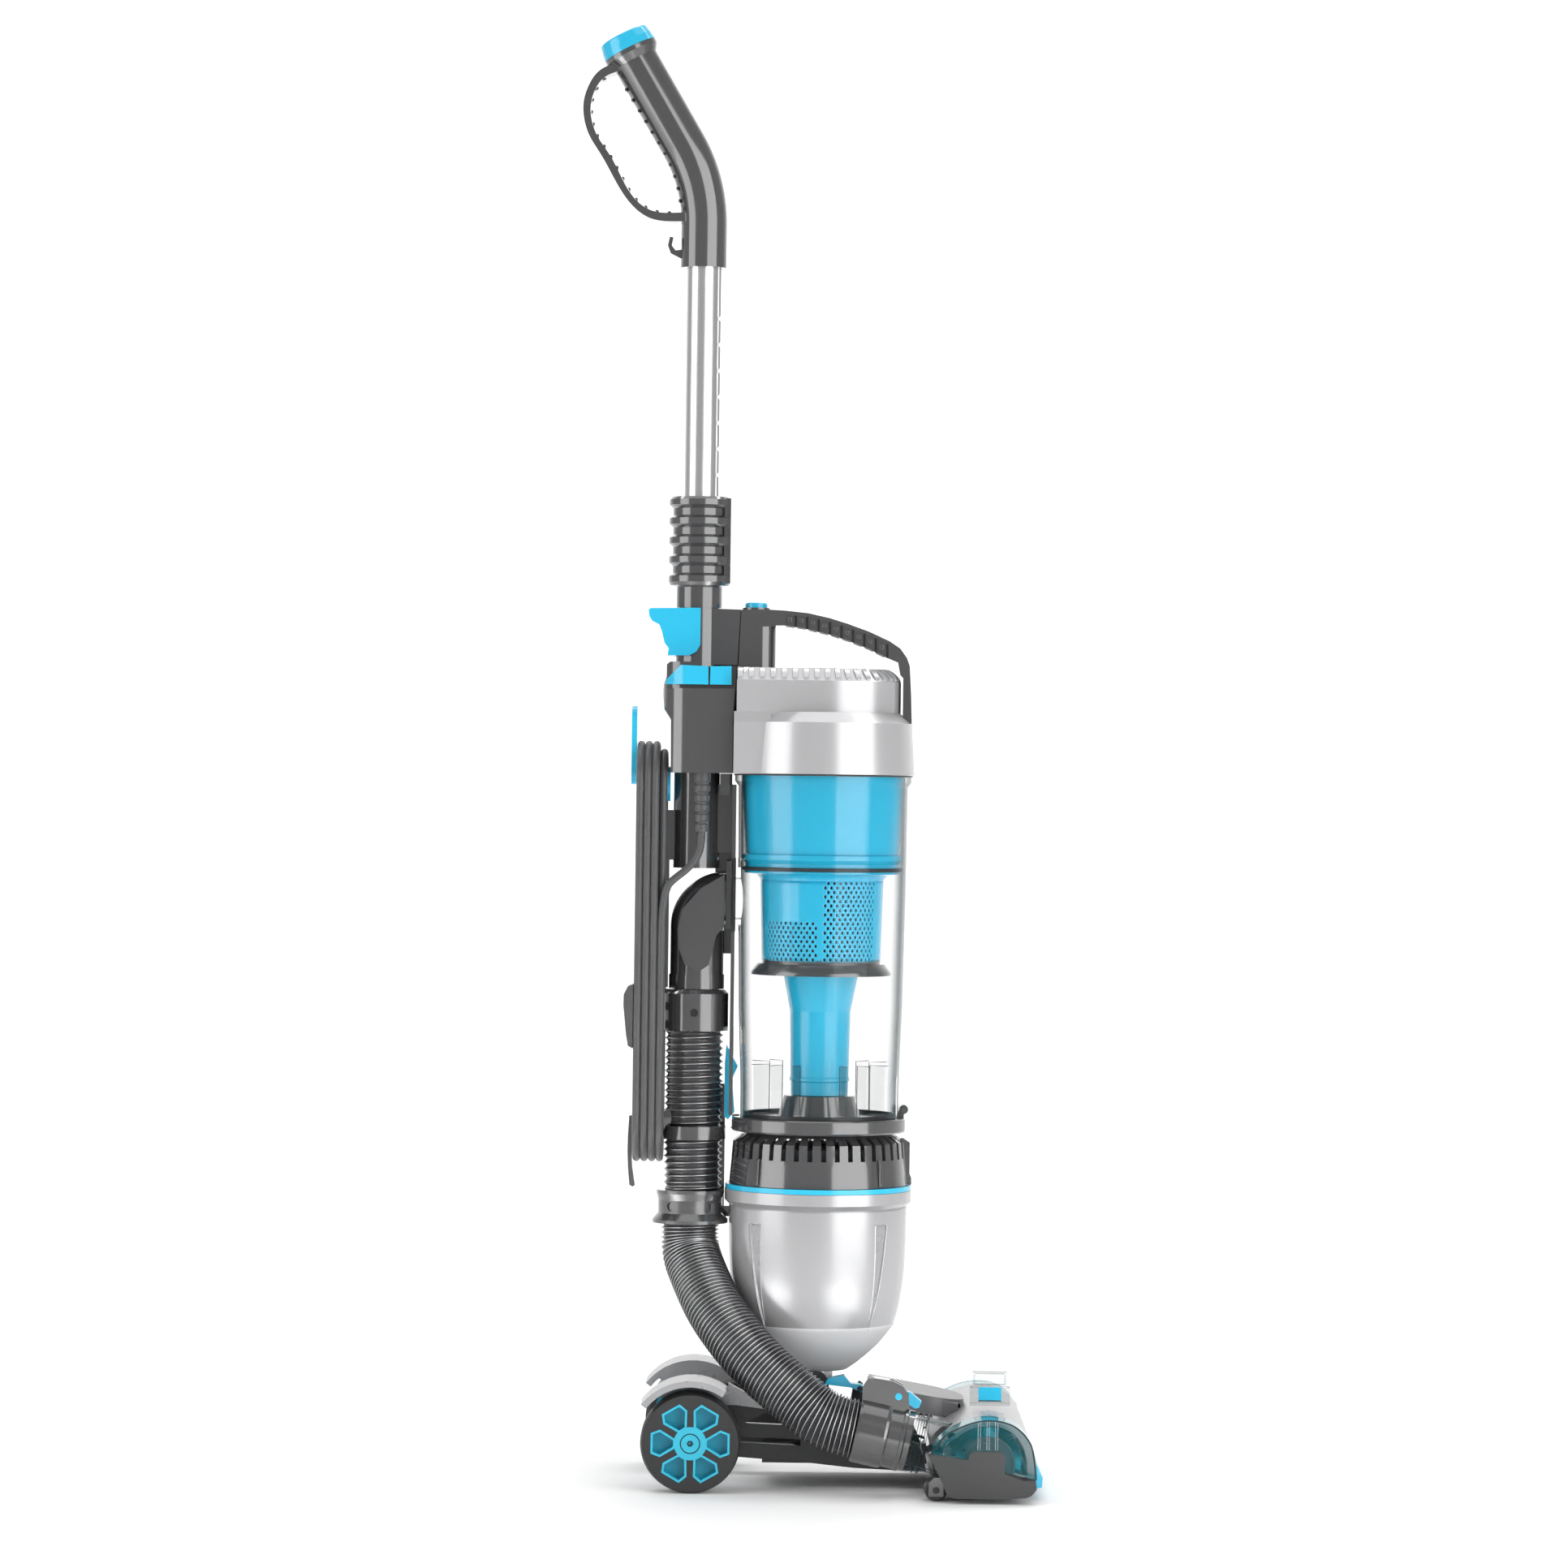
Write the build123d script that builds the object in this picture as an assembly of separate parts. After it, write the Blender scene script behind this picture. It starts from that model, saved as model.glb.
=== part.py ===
from build123d import *
import math
import os

os.makedirs("parts", exist_ok=True)

# Upright vacuum cleaner, in millimetres. +Z is up and +X is forward. Every sub-part is drawn with
# X measured from the bin's axis and Z from the floor, and is moved forward by FRAME_SHIFT when
# saved, so that the saved origin is on the floor under the middle of the whole object.

# Driving dimensions
FRAME_SHIFT = 10.0
WAND_X = -96.5
HOSE_X = -96.0
HOSE_R = 22.3
HOSE_BORE_R = 19.5
CUFF_Y = -90.0
WHEEL_X = -93.7
WHEEL_Z = 37.5
WHEEL_R = 37.4
WHEEL_IN_Y = 64.0
WHEEL_OUT_Y = 92.0
AXLE_R = 5.0
RUNNING_FIT = 0.06
FRAME_IN_Y = 42.0
FRAME_OUT_Y = 48.0
PIVOT_Z = 76.0
PIVOT_PIN_R = 5.0
BRUSH_X = 128.5
BRUSH_Z = 29.0
CHAMBER_R = 27.0
BRISTLE_R = 25.2
NOZZLE_HALF = 131.0
COVER_HALF = 104.0
MOTOR_X = 62.0
MOTOR_Z = 42.0
BELT_LOW_Y = 33.5
BELT_HIGH_Y = 40.5
BRUSH_PULLEY_R = 12.0
MOTOR_PULLEY_R = 6.0
ROLLER_X = 89.6
ROLLER_R = 8.6
DOOR_PIN_X = 64.4
DOOR_PIN_Z = 284.0
BIN_TOP_Z = 538.0
LID_FRONT = 58.5
LID_REAR = 66.5
LID_HALF = 46.0
BIN_LOW_Z = 277.8
CORD_D = 5.8
CORD_COLUMNS = 4
CORD_LAYERS = 3
HANK_LOW_X = -142.0
BLADE_X = -142.4
TUBE_TOP_Z = 960.0
HANK_INNER_R = 17.2
HANK_TOP_CENTRE_Z = 528.0
HANK_LOW_CENTRE_Z = 276.0
GRIP_BEND_Z = 990.0
GRIP_TOP = (-151.3, 1083.2)
GRIP_LEAN = 27.0


# Helpers
def face_xz(points, y=0.0):
    corners = [(x, y, z) for x, z in points]
    return make_face(Polyline(*corners, close=True))


def plate(points, y_low, y_high):
    """Side outline in X and Z, made solid from one Y to another."""
    return extrude(face_xz(points, y_low), amount=y_high - y_low, dir=(0, 1, 0))


def turned(points, x=0.0):
    """Solid of revolution about the vertical through X; points are (radius, height)."""
    outline = face_xz([(x + r, z) for r, z in points])
    return revolve(outline, Axis((x, 0, 0), (0, 0, 1)), 360)


def turned_y(points, x, z):
    """Solid of revolution about a line along Y; points are (radius, y)."""
    corners = [(x + r, y, z) for r, y in points]
    outline = make_face(Polyline(*corners, close=True))
    return revolve(outline, Axis((x, 0, z), (0, 1, 0)), 360)


def block(x_low, x_high, y_low, y_high, z_low, z_high):
    middle = ((x_low + x_high) / 2, (y_low + y_high) / 2, (z_low + z_high) / 2)
    return Pos(*middle) * Box(x_high - x_low, y_high - y_low, z_high - z_low)


def rod_x(y, z, r, x_low, x_high):
    return Pos((x_low + x_high) / 2, y, z) * Rot(0, 90, 0) * Cylinder(r, x_high - x_low)


def rod_y(x, z, r, y_low, y_high):
    return Pos(x, (y_low + y_high) / 2, z) * Rot(90, 0, 0) * Cylinder(r, y_high - y_low)


def rod_z(x, y, r, z_low, z_high):
    return Pos(x, y, (z_low + z_high) / 2) * Cylinder(r, z_high - z_low)


def both_sides(shape):
    return shape + mirror(shape, Plane.XZ)


def arc_points(x, z, r, start, stop, count):
    """Points along an arc about (x, z), with angles in degrees from +X towards +Z."""
    angles = [math.radians(start + (stop - start) * i / (count - 1)) for i in range(count)]
    return [(x + r * math.cos(a), z + r * math.sin(a)) for a in angles]


def bend_radii(route):
    """Largest arc at each inner point of a route, by its shorter run and its turn."""
    points = [Vector(*p) for p in route]
    radii = []
    for before, here, after in zip(points, points[1:], points[2:]):
        turn = math.radians((here - before).get_angle(after - here))
        shorter = min((here - before).length, (after - here).length)
        radii.append(0.45 * shorter / math.tan(turn / 2))
    return radii


def tube_along(route, r):
    """Round bar along straight runs joined by tangent arcs."""
    radii = bend_radii(route)
    path = FilletPolyline(*route, radius=radii)
    start = Vector(*route[0])
    ahead = Vector(*route[1]) - start
    section = Plane(origin=start, z_dir=ahead) * Circle(r)
    return sweep(section, path=path)


def save(name, shape):
    export_step(Pos(FRAME_SHIFT, 0, 0) * shape, f"parts/{name}.step")


# Chassis
def chassis_frame():
    side = plate([(-106, 28), (-106, 48), (-90, 66), (-58, 68), (-30, 58), (20, 52), (60, 40),
                  (78, 34), (82, 24), (84, 13), (28.8, 15.4), (-8.6, 19.2), (-95, 25)],
                 FRAME_IN_Y, FRAME_OUT_Y)
    side -= plate([(-54, 48), (-38, 56), (-11, 52), (-11, 46.5)], 0, 60)
    side -= plate([(-57, 33.6), (-57, 38), (-11, 36.4), (-11, 31.6)], 0, 60)
    side += rod_y(WHEEL_X, WHEEL_Z, 9, FRAME_IN_Y, WHEEL_IN_Y - 0.5)
    side += rod_y(WHEEL_X, WHEEL_Z, AXLE_R, FRAME_IN_Y, WHEEL_OUT_Y - 5)
    ear = plate([(-18, 22), (18, 22), (9, PIVOT_Z), (-9, PIVOT_Z)], 27.2, 33)
    ear += rod_y(0, PIVOT_Z, 10, 27.2, 33)
    ear -= rod_y(0, PIVOT_Z, PIVOT_PIN_R + RUNNING_FIT, 20, 40)
    frame = both_sides(side + ear)
    frame += block(-40, 82, -FRAME_IN_Y - 1, FRAME_IN_Y + 1, 18, 24)
    frame += rod_y(WHEEL_X, WHEEL_Z, 8, -FRAME_IN_Y - 1, FRAME_IN_Y + 1)
    bracket = plate([(24, 50), (40, 46), (38, 77), (33, 81), (28, 77)], -FRAME_OUT_Y, -FRAME_IN_Y)
    bracket += rod_y(33, 76.5, 2, -61, -FRAME_OUT_Y + 1)
    return frame + bracket


def chassis_cover():
    outer = arc_points(WHEEL_X, WHEEL_Z, 47, 142, 56, 12)
    inner = arc_points(WHEEL_X, WHEEL_Z, 42.3, 56, 142, 12)
    arch = plate(outer + inner, FRAME_OUT_Y + 0.3, 94)
    wall = plate(arc_points(WHEEL_X, WHEEL_Z, 47, 130, 50, 10) + [(-47, 68.5), (-36, 62), (-36, 59),
                 (-60, 62), (-88, 62), (-112, 62)], FRAME_OUT_Y + 0.3, FRAME_OUT_Y + 3)
    deck = plate([(-66, 79), (-47, 68.6), (-36, 62), (-36, 59), (-48, 65), (-66, 75)],
                 FRAME_OUT_Y + 0.3, 54)
    return both_sides(arch + wall + deck)


def tongue(grow):
    """The fairing's outer form: a bar with a round front end that slopes down forward."""
    side = plate([(41 - grow, 77 + grow), (113 + grow, 64.5 + grow), (113 + grow, 50 - grow),
                  (41 - grow, 63 - grow)], -38 - grow, 38 + grow)
    plan = extrude(Pos(60, 0, 0) * RectangleRounded(106 + 2 * grow, 76 + 2 * grow, 30), amount=100)
    return side & plan & block(41 - grow, 120, -60, 60, 0, 100)


def neck_fairing():
    hollow = plate([(38, 74.3), (110, 61.8), (110, 40), (38, 55)], -35, 35)
    return tongue(0) - hollow


def nozzle_top_arc(y):
    return Spline((85.7, y, 36.7), (93.8, y, 49.9), (103.3, y, 55.9), (115, y, 60.8),
                  (126.9, y, 62.8), (138.8, y, 61.7), (148.3, y, 57.7), (156.7, y, 49.5),
                  (161, y, 40.1), (163.6, y, 18.8))


def nozzle_inner_arc(y):
    return Spline((94, y, 35.7), (95.7, y, 42.8), (104.5, y, 49.3), (115.1, y, 55.2),
                  (127, y, 57.4), (136.5, y, 56.6), (146, y, 51.6), (153, y, 41.8),
                  (156.2, y, 29.4), (156.9, y, 17.5))


def arch_solid(arc, y_low, y_high):
    """Solid under one of the nozzle's arcs."""
    curve = arc(y_low)
    chord = Line(curve @ 1, curve @ 0)
    return extrude(make_face([curve, chord]), amount=y_high - y_low, dir=(0, 1, 0))


def cuff_axis(shape):
    """Place a shape drawn along +Z on the lower hose cuff's axis."""
    return Pos(29.5, CUFF_Y, 50) * Rot(0, 102, 0) * shape


def neck_cut():
    return cuff_axis(Pos(0, 0, 66) * Cylinder(20.4, 42))


def belt_cut():
    return block(78, 104, BELT_LOW_Y - 1, BELT_HIGH_Y + 1, 20, 51)


def roller_wells():
    well = rod_y(ROLLER_X, ROLLER_R + 0.1, ROLLER_R + 1, 100, 116)
    return both_sides(well) + rod_y(ROLLER_X, ROLLER_R + 0.1, 3.4, -120, 120)


CAP_OUTLINE = [(85.7, 36.7), (112.5, 32.9), (113.6, 37.1), (116.5, 39.3), (137.3, 39.2),
               (139.7, 36.3), (139.8, 23.2), (153, 18.1), (163, 18.2), (163.7, 11.7),
               (159.6, 6.9), (155.5, 5.4), (138.3, 4.2), (102.7, 4.4), (98, 5.5),
               (93.1, 16.7), (87.6, 28.5), (83.4, 35.5)]


def nozzle_base():
    outline = [(83.4, 35.3), (85.7, 36.5), (163.6, 18.5), (163.7, 11.7), (159.6, 6.9),
               (155.5, 5.4), (138.3, 4.2), (102.7, 4.4), (98, 5.5), (93.1, 16.7), (87.6, 28.5)]
    base = plate(outline, -118.8, 118.8)
    base -= rod_y(BRUSH_X, BRUSH_Z, CHAMBER_R, -112, 112)
    base -= rod_y(BRUSH_X, BRUSH_Z, 19.9, -120, 120)
    ear = plate([(84, 14), (84, 4), (95, 4), (95, 18), (88, 18)], 116.3, 118.8)
    ear += plate([(84, 14), (84, 4), (95, 4), (95, 18), (88, 18)], 96.5, 99.5)
    base += both_sides(ear)
    base -= rod_y(ROLLER_X, ROLLER_R + 0.1, 2.5 + RUNNING_FIT, -120, 120)
    base -= both_sides(rod_y(ROLLER_X, ROLLER_R + 0.1, ROLLER_R + 1, 99.6, 116.2))
    base -= block(84, 92.6, -96, 96, 3, 14)
    return base - neck_cut() - belt_cut()


def nozzle_cover():
    shell = arch_solid(nozzle_top_arc, -COVER_HALF, COVER_HALF)
    shell -= arch_solid(nozzle_inner_arc, -COVER_HALF - 1, COVER_HALF + 1)
    shell -= rod_y(BRUSH_X, BRUSH_Z, CHAMBER_R, -112, 112)
    return shell - neck_cut() - belt_cut() - tongue(0.2)


def end_windows():
    window = arch_solid(nozzle_top_arc, COVER_HALF + 0.2, NOZZLE_HALF)
    window -= arch_solid(nozzle_inner_arc, COVER_HALF, NOZZLE_HALF - 2.4)
    window -= plate(CAP_OUTLINE, COVER_HALF, NOZZLE_HALF + 1)
    return both_sides(window) - neck_cut()


def end_caps():
    cap = plate(CAP_OUTLINE, 119, NOZZLE_HALF)
    cap += turned_y([(4, 113.5), (19.6, 113.5), (19.6, 119.5), (17.6, 119.5), (17.6, 117.9),
                     (15.2, 117.9), (15.2, 119.5), (4, 119.5)], BRUSH_X, BRUSH_Z)
    cap -= rod_y(BRUSH_X, BRUSH_Z, 6 + RUNNING_FIT, 110, 126)
    return both_sides(cap)


def bumper_strip():
    return plate([(164, 28.2), (169.5, 16.4), (169, 9.2), (164.2, 8.6)], -100, 100)


def brush_motor():
    body = turned_y([(0, -32), (8, -32), (13.5, -28), (13.5, 22), (9, 26), (4, 26), (4, 30),
                     (0, 30)], MOTOR_X, MOTOR_Z)
    bore = rod_y(MOTOR_X, MOTOR_Z, 2.5 + RUNNING_FIT, 20, 31)
    feet = block(MOTOR_X - 8, MOTOR_X + 8, -24, 18, 24.2, 32)
    return body + feet - bore


def motor_pulley():
    pulley = rod_y(MOTOR_X, MOTOR_Z, MOTOR_PULLEY_R, BELT_LOW_Y - 0.5, BELT_HIGH_Y + 0.8)
    return pulley + rod_y(MOTOR_X, MOTOR_Z, 2.5, 21, BELT_LOW_Y)


def belt_loop(grow):
    rings = [Pos(MOTOR_X, MOTOR_Z) * Circle(MOTOR_PULLEY_R + grow),
             Pos(BRUSH_X, BRUSH_Z) * Circle(BRUSH_PULLEY_R + grow)]
    hull = make_hull([edge for ring in rings for edge in ring.edges()])
    flat = Plane(origin=(0, BELT_HIGH_Y, 0), x_dir=(1, 0, 0), z_dir=(0, -1, 0)) * hull
    return extrude(flat, amount=BELT_HIGH_Y - BELT_LOW_Y, dir=(0, -1, 0))


def drive_belt():
    return belt_loop(1.6) - belt_loop(RUNNING_FIT)


def duct_neck():
    outline = [(18, 41.2), (21, 41.2)]
    for ring in range(3):
        low = 42 + 4 * ring
        outline += [(22.6, low + 1), (22.6, low + 2), (20, low + 3), (20, low + 4)]
    outline += [(20, 68), (18, 68)]
    return cuff_axis(turned(outline))


def lower_cuff():
    sleeve = cuff_axis(turned([(HOSE_BORE_R, 0), (24.2, 0), (24.8, 2), (24.8, 21), (24, 23),
                               (23, 24), (23, 33), (24, 34), (24, 36), (23, 37), (23, 41),
                               (HOSE_BORE_R, 41)]))
    tab = plate([(34.2, 70), (34.7, 82.9), (38.2, 88.4), (43, 89), (57.4, 86.8), (64.6, 83.3),
                 (68.9, 77.4), (69.4, 67), (60, 60)], CUFF_Y - 8, CUFF_Y + 8)
    tab -= block(55, 76, CUFF_Y - 4.3, CUFF_Y + 4.3, 67.5, 92)
    tab -= cuff_axis(Pos(0, 0, 20) * Cylinder(22, 60))
    tab -= rod_y(61.5, 75.4, 2.6 + RUNNING_FIT, CUFF_Y - 10, CUFF_Y + 10)
    return sleeve + tab


def cuff_lever():
    lever = plate([(58, 77), (60, 79.4), (70.2, 78.4), (78.6, 71.5), (76.9, 67), (74, 66),
                   (66, 71), (60, 71.4)], CUFF_Y - 4, CUFF_Y + 4)
    return lever + rod_y(61.5, 75.4, 2.6, CUFF_Y - 8.3, CUFF_Y + 8.3)


def recline_pedal():
    pedal = plate([(6.6, 79.5), (9, 83.8), (21.2, 86.4), (26.2, 80.4), (33.6, 79.8), (37.9, 76.3),
                   (34.8, 73.6), (26.2, 77.3)], -60, -FRAME_OUT_Y - 0.5)
    return pedal - rod_y(33, 76.5, 2 + RUNNING_FIT, -62, -40)


# Wheels and brush
def petals(grow, y_low, y_high):
    outline = [(29.5, 7.6), (29.5, -7.6), (22.6, -10.3), (11, -3.3), (11, 3.3), (22.6, 10.3)]
    flat = offset(make_face(Polyline(*outline, close=True)), amount=grow, kind=Kind.INTERSECTION)
    solid = extrude(flat, amount=y_high - y_low)
    ring = Part() + [Rot(0, 0, 60 * i) * solid for i in range(6)]
    return Pos(WHEEL_X, y_high, WHEEL_Z) * Rot(90, 0, 0) * ring


def tyre():
    ring = turned_y([(31.9, WHEEL_IN_Y), (35, WHEEL_IN_Y), (WHEEL_R, WHEEL_IN_Y + 3),
                     (WHEEL_R, WHEEL_OUT_Y - 4), (36, WHEEL_OUT_Y), (12.6, WHEEL_OUT_Y),
                     (12.6, WHEEL_OUT_Y - 2), (31.9, WHEEL_OUT_Y - 2)], WHEEL_X, WHEEL_Z)
    return ring - petals(0.1, WHEEL_OUT_Y - 3, WHEEL_OUT_Y + 1)


def wheel_hub():
    face_y = WHEEL_OUT_Y - 2.1
    hub = rod_y(WHEEL_X, WHEEL_Z, 31.7, WHEEL_IN_Y + 2, face_y)
    hub += rod_y(WHEEL_X, WHEEL_Z, 12.4, face_y - 1, WHEEL_OUT_Y)
    hub += petals(0, face_y - 1, WHEEL_OUT_Y)
    hub -= petals(-1.6, WHEEL_IN_Y + 6, WHEEL_OUT_Y + 1)
    hub -= rod_y(WHEEL_X, WHEEL_Z, AXLE_R + RUNNING_FIT, WHEEL_IN_Y, WHEEL_OUT_Y - 4.8)
    groove = turned_y([(6.8, WHEEL_OUT_Y - 0.8), (7.6, WHEEL_OUT_Y - 0.8), (7.6, WHEEL_OUT_Y + 1),
                       (6.8, WHEEL_OUT_Y + 1)], WHEEL_X, WHEEL_Z)
    socket = Pos(WHEEL_X, WHEEL_OUT_Y, WHEEL_Z) * Rot(90, 0, 0) * extrude(RegularPolygon(2.2, 6), 2)
    return hub - groove - socket


def brush_bar():
    core = turned_y([(0, -118.5), (6, -118.5), (6, -113), (15, -112), (15, BELT_LOW_Y - 2),
                     (BRUSH_PULLEY_R, BELT_LOW_Y - 1), (BRUSH_PULLEY_R, BELT_HIGH_Y + 1),
                     (15, BELT_HIGH_Y + 2), (15, 112), (6, 113), (6, 118.5), (0, 118.5)],
                    BRUSH_X, BRUSH_Z)
    strip = block(12, BRISTLE_R, -110, BELT_LOW_Y - 2, -2.5, 2.5)
    strip += block(12, BRISTLE_R, BELT_HIGH_Y + 2, 110, -2.5, 2.5)
    strips = Part() + [Rot(0, 90 * i, 0) * strip for i in range(4)]
    return core + Pos(BRUSH_X, 0, BRUSH_Z) * strips


def nozzle_rollers():
    roller = turned_y([(0, 100.5), (7.6, 100.5), (ROLLER_R, 101.5), (ROLLER_R, 114.5),
                       (7.6, 115.5), (0, 115.5)], ROLLER_X, ROLLER_R + 0.1)
    return both_sides(roller) + rod_y(ROLLER_X, ROLLER_R + 0.1, 2.5, -118.6, 118.6)


# Window latch on the nozzle's top
def lean_latch(shape):
    return Pos(131, -58, 66.4) * Rot(-24, 0, 0) * shape


def window_latch():
    frame = block(-15, 15, -2.5, 2.5, 0, 13)
    frame += block(-13, 13, -1.6, 1.6, 12, 25)
    frame -= block(-11, 11, -3, 3, 15, 23.4)
    frame += rod_x(1, 1, 2.2, -15, 15)
    return lean_latch(frame - block(-8.8, 8.8, -4, 0.2, 1.4, 12))


def latch_insert():
    return lean_latch(block(-8.5, 8.5, -3.4, 0, 1.7, 11.7))


# Motor end of the body
def motor_bowl():
    bowl = turned([(0, 84.5), (23.6, 85.2), (33.1, 92.3), (46.9, 104.7), (58.8, 119.6),
                   (63, 136.2), (66.9, 171), (67.5, 210), (71.3, 213.8), (71.3, 222.4),
                   (68.4, 222.4), (68.4, 215), (64.8, 211), (64.2, 171.5), (60.4, 137),
                   (56.4, 121), (44.8, 107.2), (31.3, 95), (22, 88.5), (0, 88)])
    floor = [(-75, 198.6), (-65.4, 198.6), (-65.1, 171), (-61.2, 136), (-56.6, 118), (-75, 118)]
    sweep_cut = extrude(make_face(Polyline(*[(-10, y, z) for y, z in floor], close=True)),
                        amount=20, dir=(1, 0, 0))
    leaning = plate([(-6.4, 199), (6.4, 199), (6.4, 192), (5, 118), (3.6, 118)], -76, -50)
    for turn, flip in ((-45, -1), (45, 1), (135, -1), (225, 1)):
        side = leaning if flip < 0 else mirror(leaning, Plane.YZ)
        bowl -= Rot(0, 0, turn) * (sweep_cut & side)
    neck = rod_z(0, 0, 13, PIVOT_Z - 2, 86) + rod_y(0, PIVOT_Z, 9, -26.8, 26.8)
    return bowl + neck + rod_y(0, PIVOT_Z, PIVOT_PIN_R, -33.6, 33.6)


def trim_ring():
    return turned([(65, 222.6), (71, 222.6), (71, 226.3), (65, 226.3)])


def motor_can():
    return turned([(0, 122), (34, 122), (44, 128), (44, 150), (60.6, 150), (60.6, 155), (44, 155),
                   (44, 190), (38, 196), (5.08, 196), (5.08, 184), (0, 184)])


def motor_fan():
    return turned([(0, 184.5), (5, 184.5), (5, 199), (40, 199), (40, 203), (16, 212), (0, 212)])


def exhaust_housing():
    housing = turned([(12, 265.7), (56.5, 265.7), (65.3, 259), (68.1, 226.6), (65.2, 226.6),
                      (62.5, 257.6), (55.6, 263), (12, 263)])
    slot = block(50, 80, -1.9, 1.9, 247, 264)
    for index in range(40):
        housing -= Rot(0, 0, 9 * index + 3) * slot
    strap = plate([(65.6, 226.6), (71, 226.6), (71, 231.5), (69.6, 235), (69.6, 258.6), (64.6, 262),
                   (62.4, 262)], -6.5, 6.5)
    return housing + (strap - turned([(0, 220), (66.4, 226), (63.6, 257.6), (55, 263), (0, 263)]))


def exhaust_filter():
    return turned([(28, 229), (60, 229), (58, 255), (28, 255)])


# Spine, rear housing and switches
def spine():
    tube = turned([(15.55, 466), (17.5, 466), (17.5, 664), (15.55, 664)], WAND_X)
    top = plate([(WAND_X, 621), (WAND_X, 664), (-64.6, 663.3), (-66.8, 621)], -14.5, 14.5)
    top &= block(-104.8, -60, -30, 30, 600, 700)
    top -= rod_z(WAND_X, 0, 16, 600, 700)
    web = block(-68.8, -66, -22, 22, 279, 530)
    web -= block(-72, -60, -30, 24.4, 418, 474)
    web -= block(-72, -60, -12, 12, 268, 345)
    web += block(-78.6, -71.2, -22, 22, 522, 538.2)
    web += block(-68.8, -66, 20, 28, 400, 418) + block(-68.8, -66, 20, 28, 474, 490)
    strap = block(-82, -66, 24.6, 28, 400, 490)
    foot = block(-86, -72, 26, 29, 198, 300) + block(-86, -61, 26, 29, 198, 206)
    foot += block(-73, -66, 18, 29, 282, 300)
    foot -= rod_z(0, 0, 67.9, 190, 210) + rod_z(HOSE_X - 1.6, 0, 29.4, 190, 210)
    link = block(-81, -67, -6, 6, 478, 530)
    back = block(-118.4, -116.4, -14, 14, 375, 510) + block(-118, -112, -6, 6, 472, 510)
    body = tube + top + web + strap + foot + link + back
    body -= rod_z(WAND_X, 0, 15.55, 466, 664)
    return body - rod_y(-100, 632, 2 + RUNNING_FIT, -19, 19)


def rounded_back(r, half):
    """Tall blank with rounded rear corners, open to the front."""
    blank = block(-123.1 + r, -60, -half, half, 530, 630)
    blank += block(-123.1, -60, -half + r, half - r, 530, 630) if half > r else Part()
    return blank + both_sides(rod_z(-123.1 + r, half - r, r, 530, 630))


def rear_housing():
    outline = [(-117.7, 623), (-120.4, 621), (-120.5, 611.5), (-123.1, 604.4), (-123.1, 598.7),
               (-121.6, 586.6), (-116.4, 578.6), (-116, 538.5), (-69.2, 538.5), (-69.4, 577.5),
               (-67.4, 609.4), (-67.2, 619.6), (-94.4, 619.6), (-94.4, 623)]
    body = plate(outline, -22, 22) & rounded_back(20, 22)
    low = [(-123.1, 602.5), (-123.1, 598.7), (-121.6, 586.6), (-116.4, 578.6), (-116, 538.5),
           (-69.2, 538.5), (-69.4, 577.5), (-68.2, 602.5)]
    body += plate(low, -38, 38) & rounded_back(24, 38)
    body -= rod_z(WAND_X, 0, 17.55, 530, 630)
    return body - rod_z(-92, -27, 3.2, 530, 550)


def paddle(points):
    return plate(points, -37.4, -23) & rounded_back(24, 38)


def power_paddle():
    return paddle([(-121.1, 605.5), (-120.5, 608.8), (-109.2, 620.1), (-88.4, 619.3),
                   (-88.2, 605.5)])


def brush_paddle():
    return paddle([(-87, 605.5), (-86.7, 619.3), (-70.9, 619.6), (-70.7, 605.5)])


def wand_lever():
    outline = [(-134.6, 662.1), (-133, 663.4), (-95, 664), (-95, 636), (-97.9, 630.6),
               (-103.3, 627.7), (-119.7, 627.5), (-119.1, 633), (-122.2, 637), (-124.3, 645.7),
               (-126.4, 651.1), (-131.8, 653.7), (-133.9, 657)]
    lever = plate(outline, -21.5, 21.5) - rod_z(WAND_X, 0, 18.7, 600, 700)
    pin = rod_y(-100, 632, 2, 15.7, 20)
    return lever + both_sides(pin)


# Hose run
def inlet_elbow():
    path = FilletPolyline((-94.8, 0, 374), (-94.8, 0, 443), (-73.3, 0, 443), radius=21)
    outer = sweep(Pos(-94.8, 0, 374) * Circle(20.4), path=path)
    inner = sweep(Pos(-94.8, 0, 374) * Circle(17.4), path=path)
    skirt = turned([(15, 374), (21.2, 374), (21.2, 385), (15, 385)], -94.8)
    panel = plate([(-74, 461.7), (-92.5, 450.6), (-106.2, 434.8), (-109.5, 419.1),
                   (-108.5, 405.2), (-103.9, 393.1), (-93.4, 387.1), (-85.7, 392.4),
                   (-83, 402), (-80, 415), (-74, 422)], -21.4, -10)
    return outer + skirt + panel - inner


def inlet_gasket():
    flange = block(-72.9, -69.2, -24, 24, 420.5, 471.8)
    return flange - rod_x(0, 443, 17.4, -75, -65)


def hose_cuff():
    return turned([(HOSE_BORE_R, 342.2), (25.4, 342.2), (25.4, 370.5), (22.4, 373.6),
                   (17.4, 373.6), (17.4, 371), (HOSE_BORE_R, 368)], HOSE_X + 0.4)


def hose_straight():
    return turned([(HOSE_BORE_R, 220.8), (HOSE_R, 220.8), (HOSE_R, 342), (HOSE_BORE_R, 342)], HOSE_X)


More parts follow.
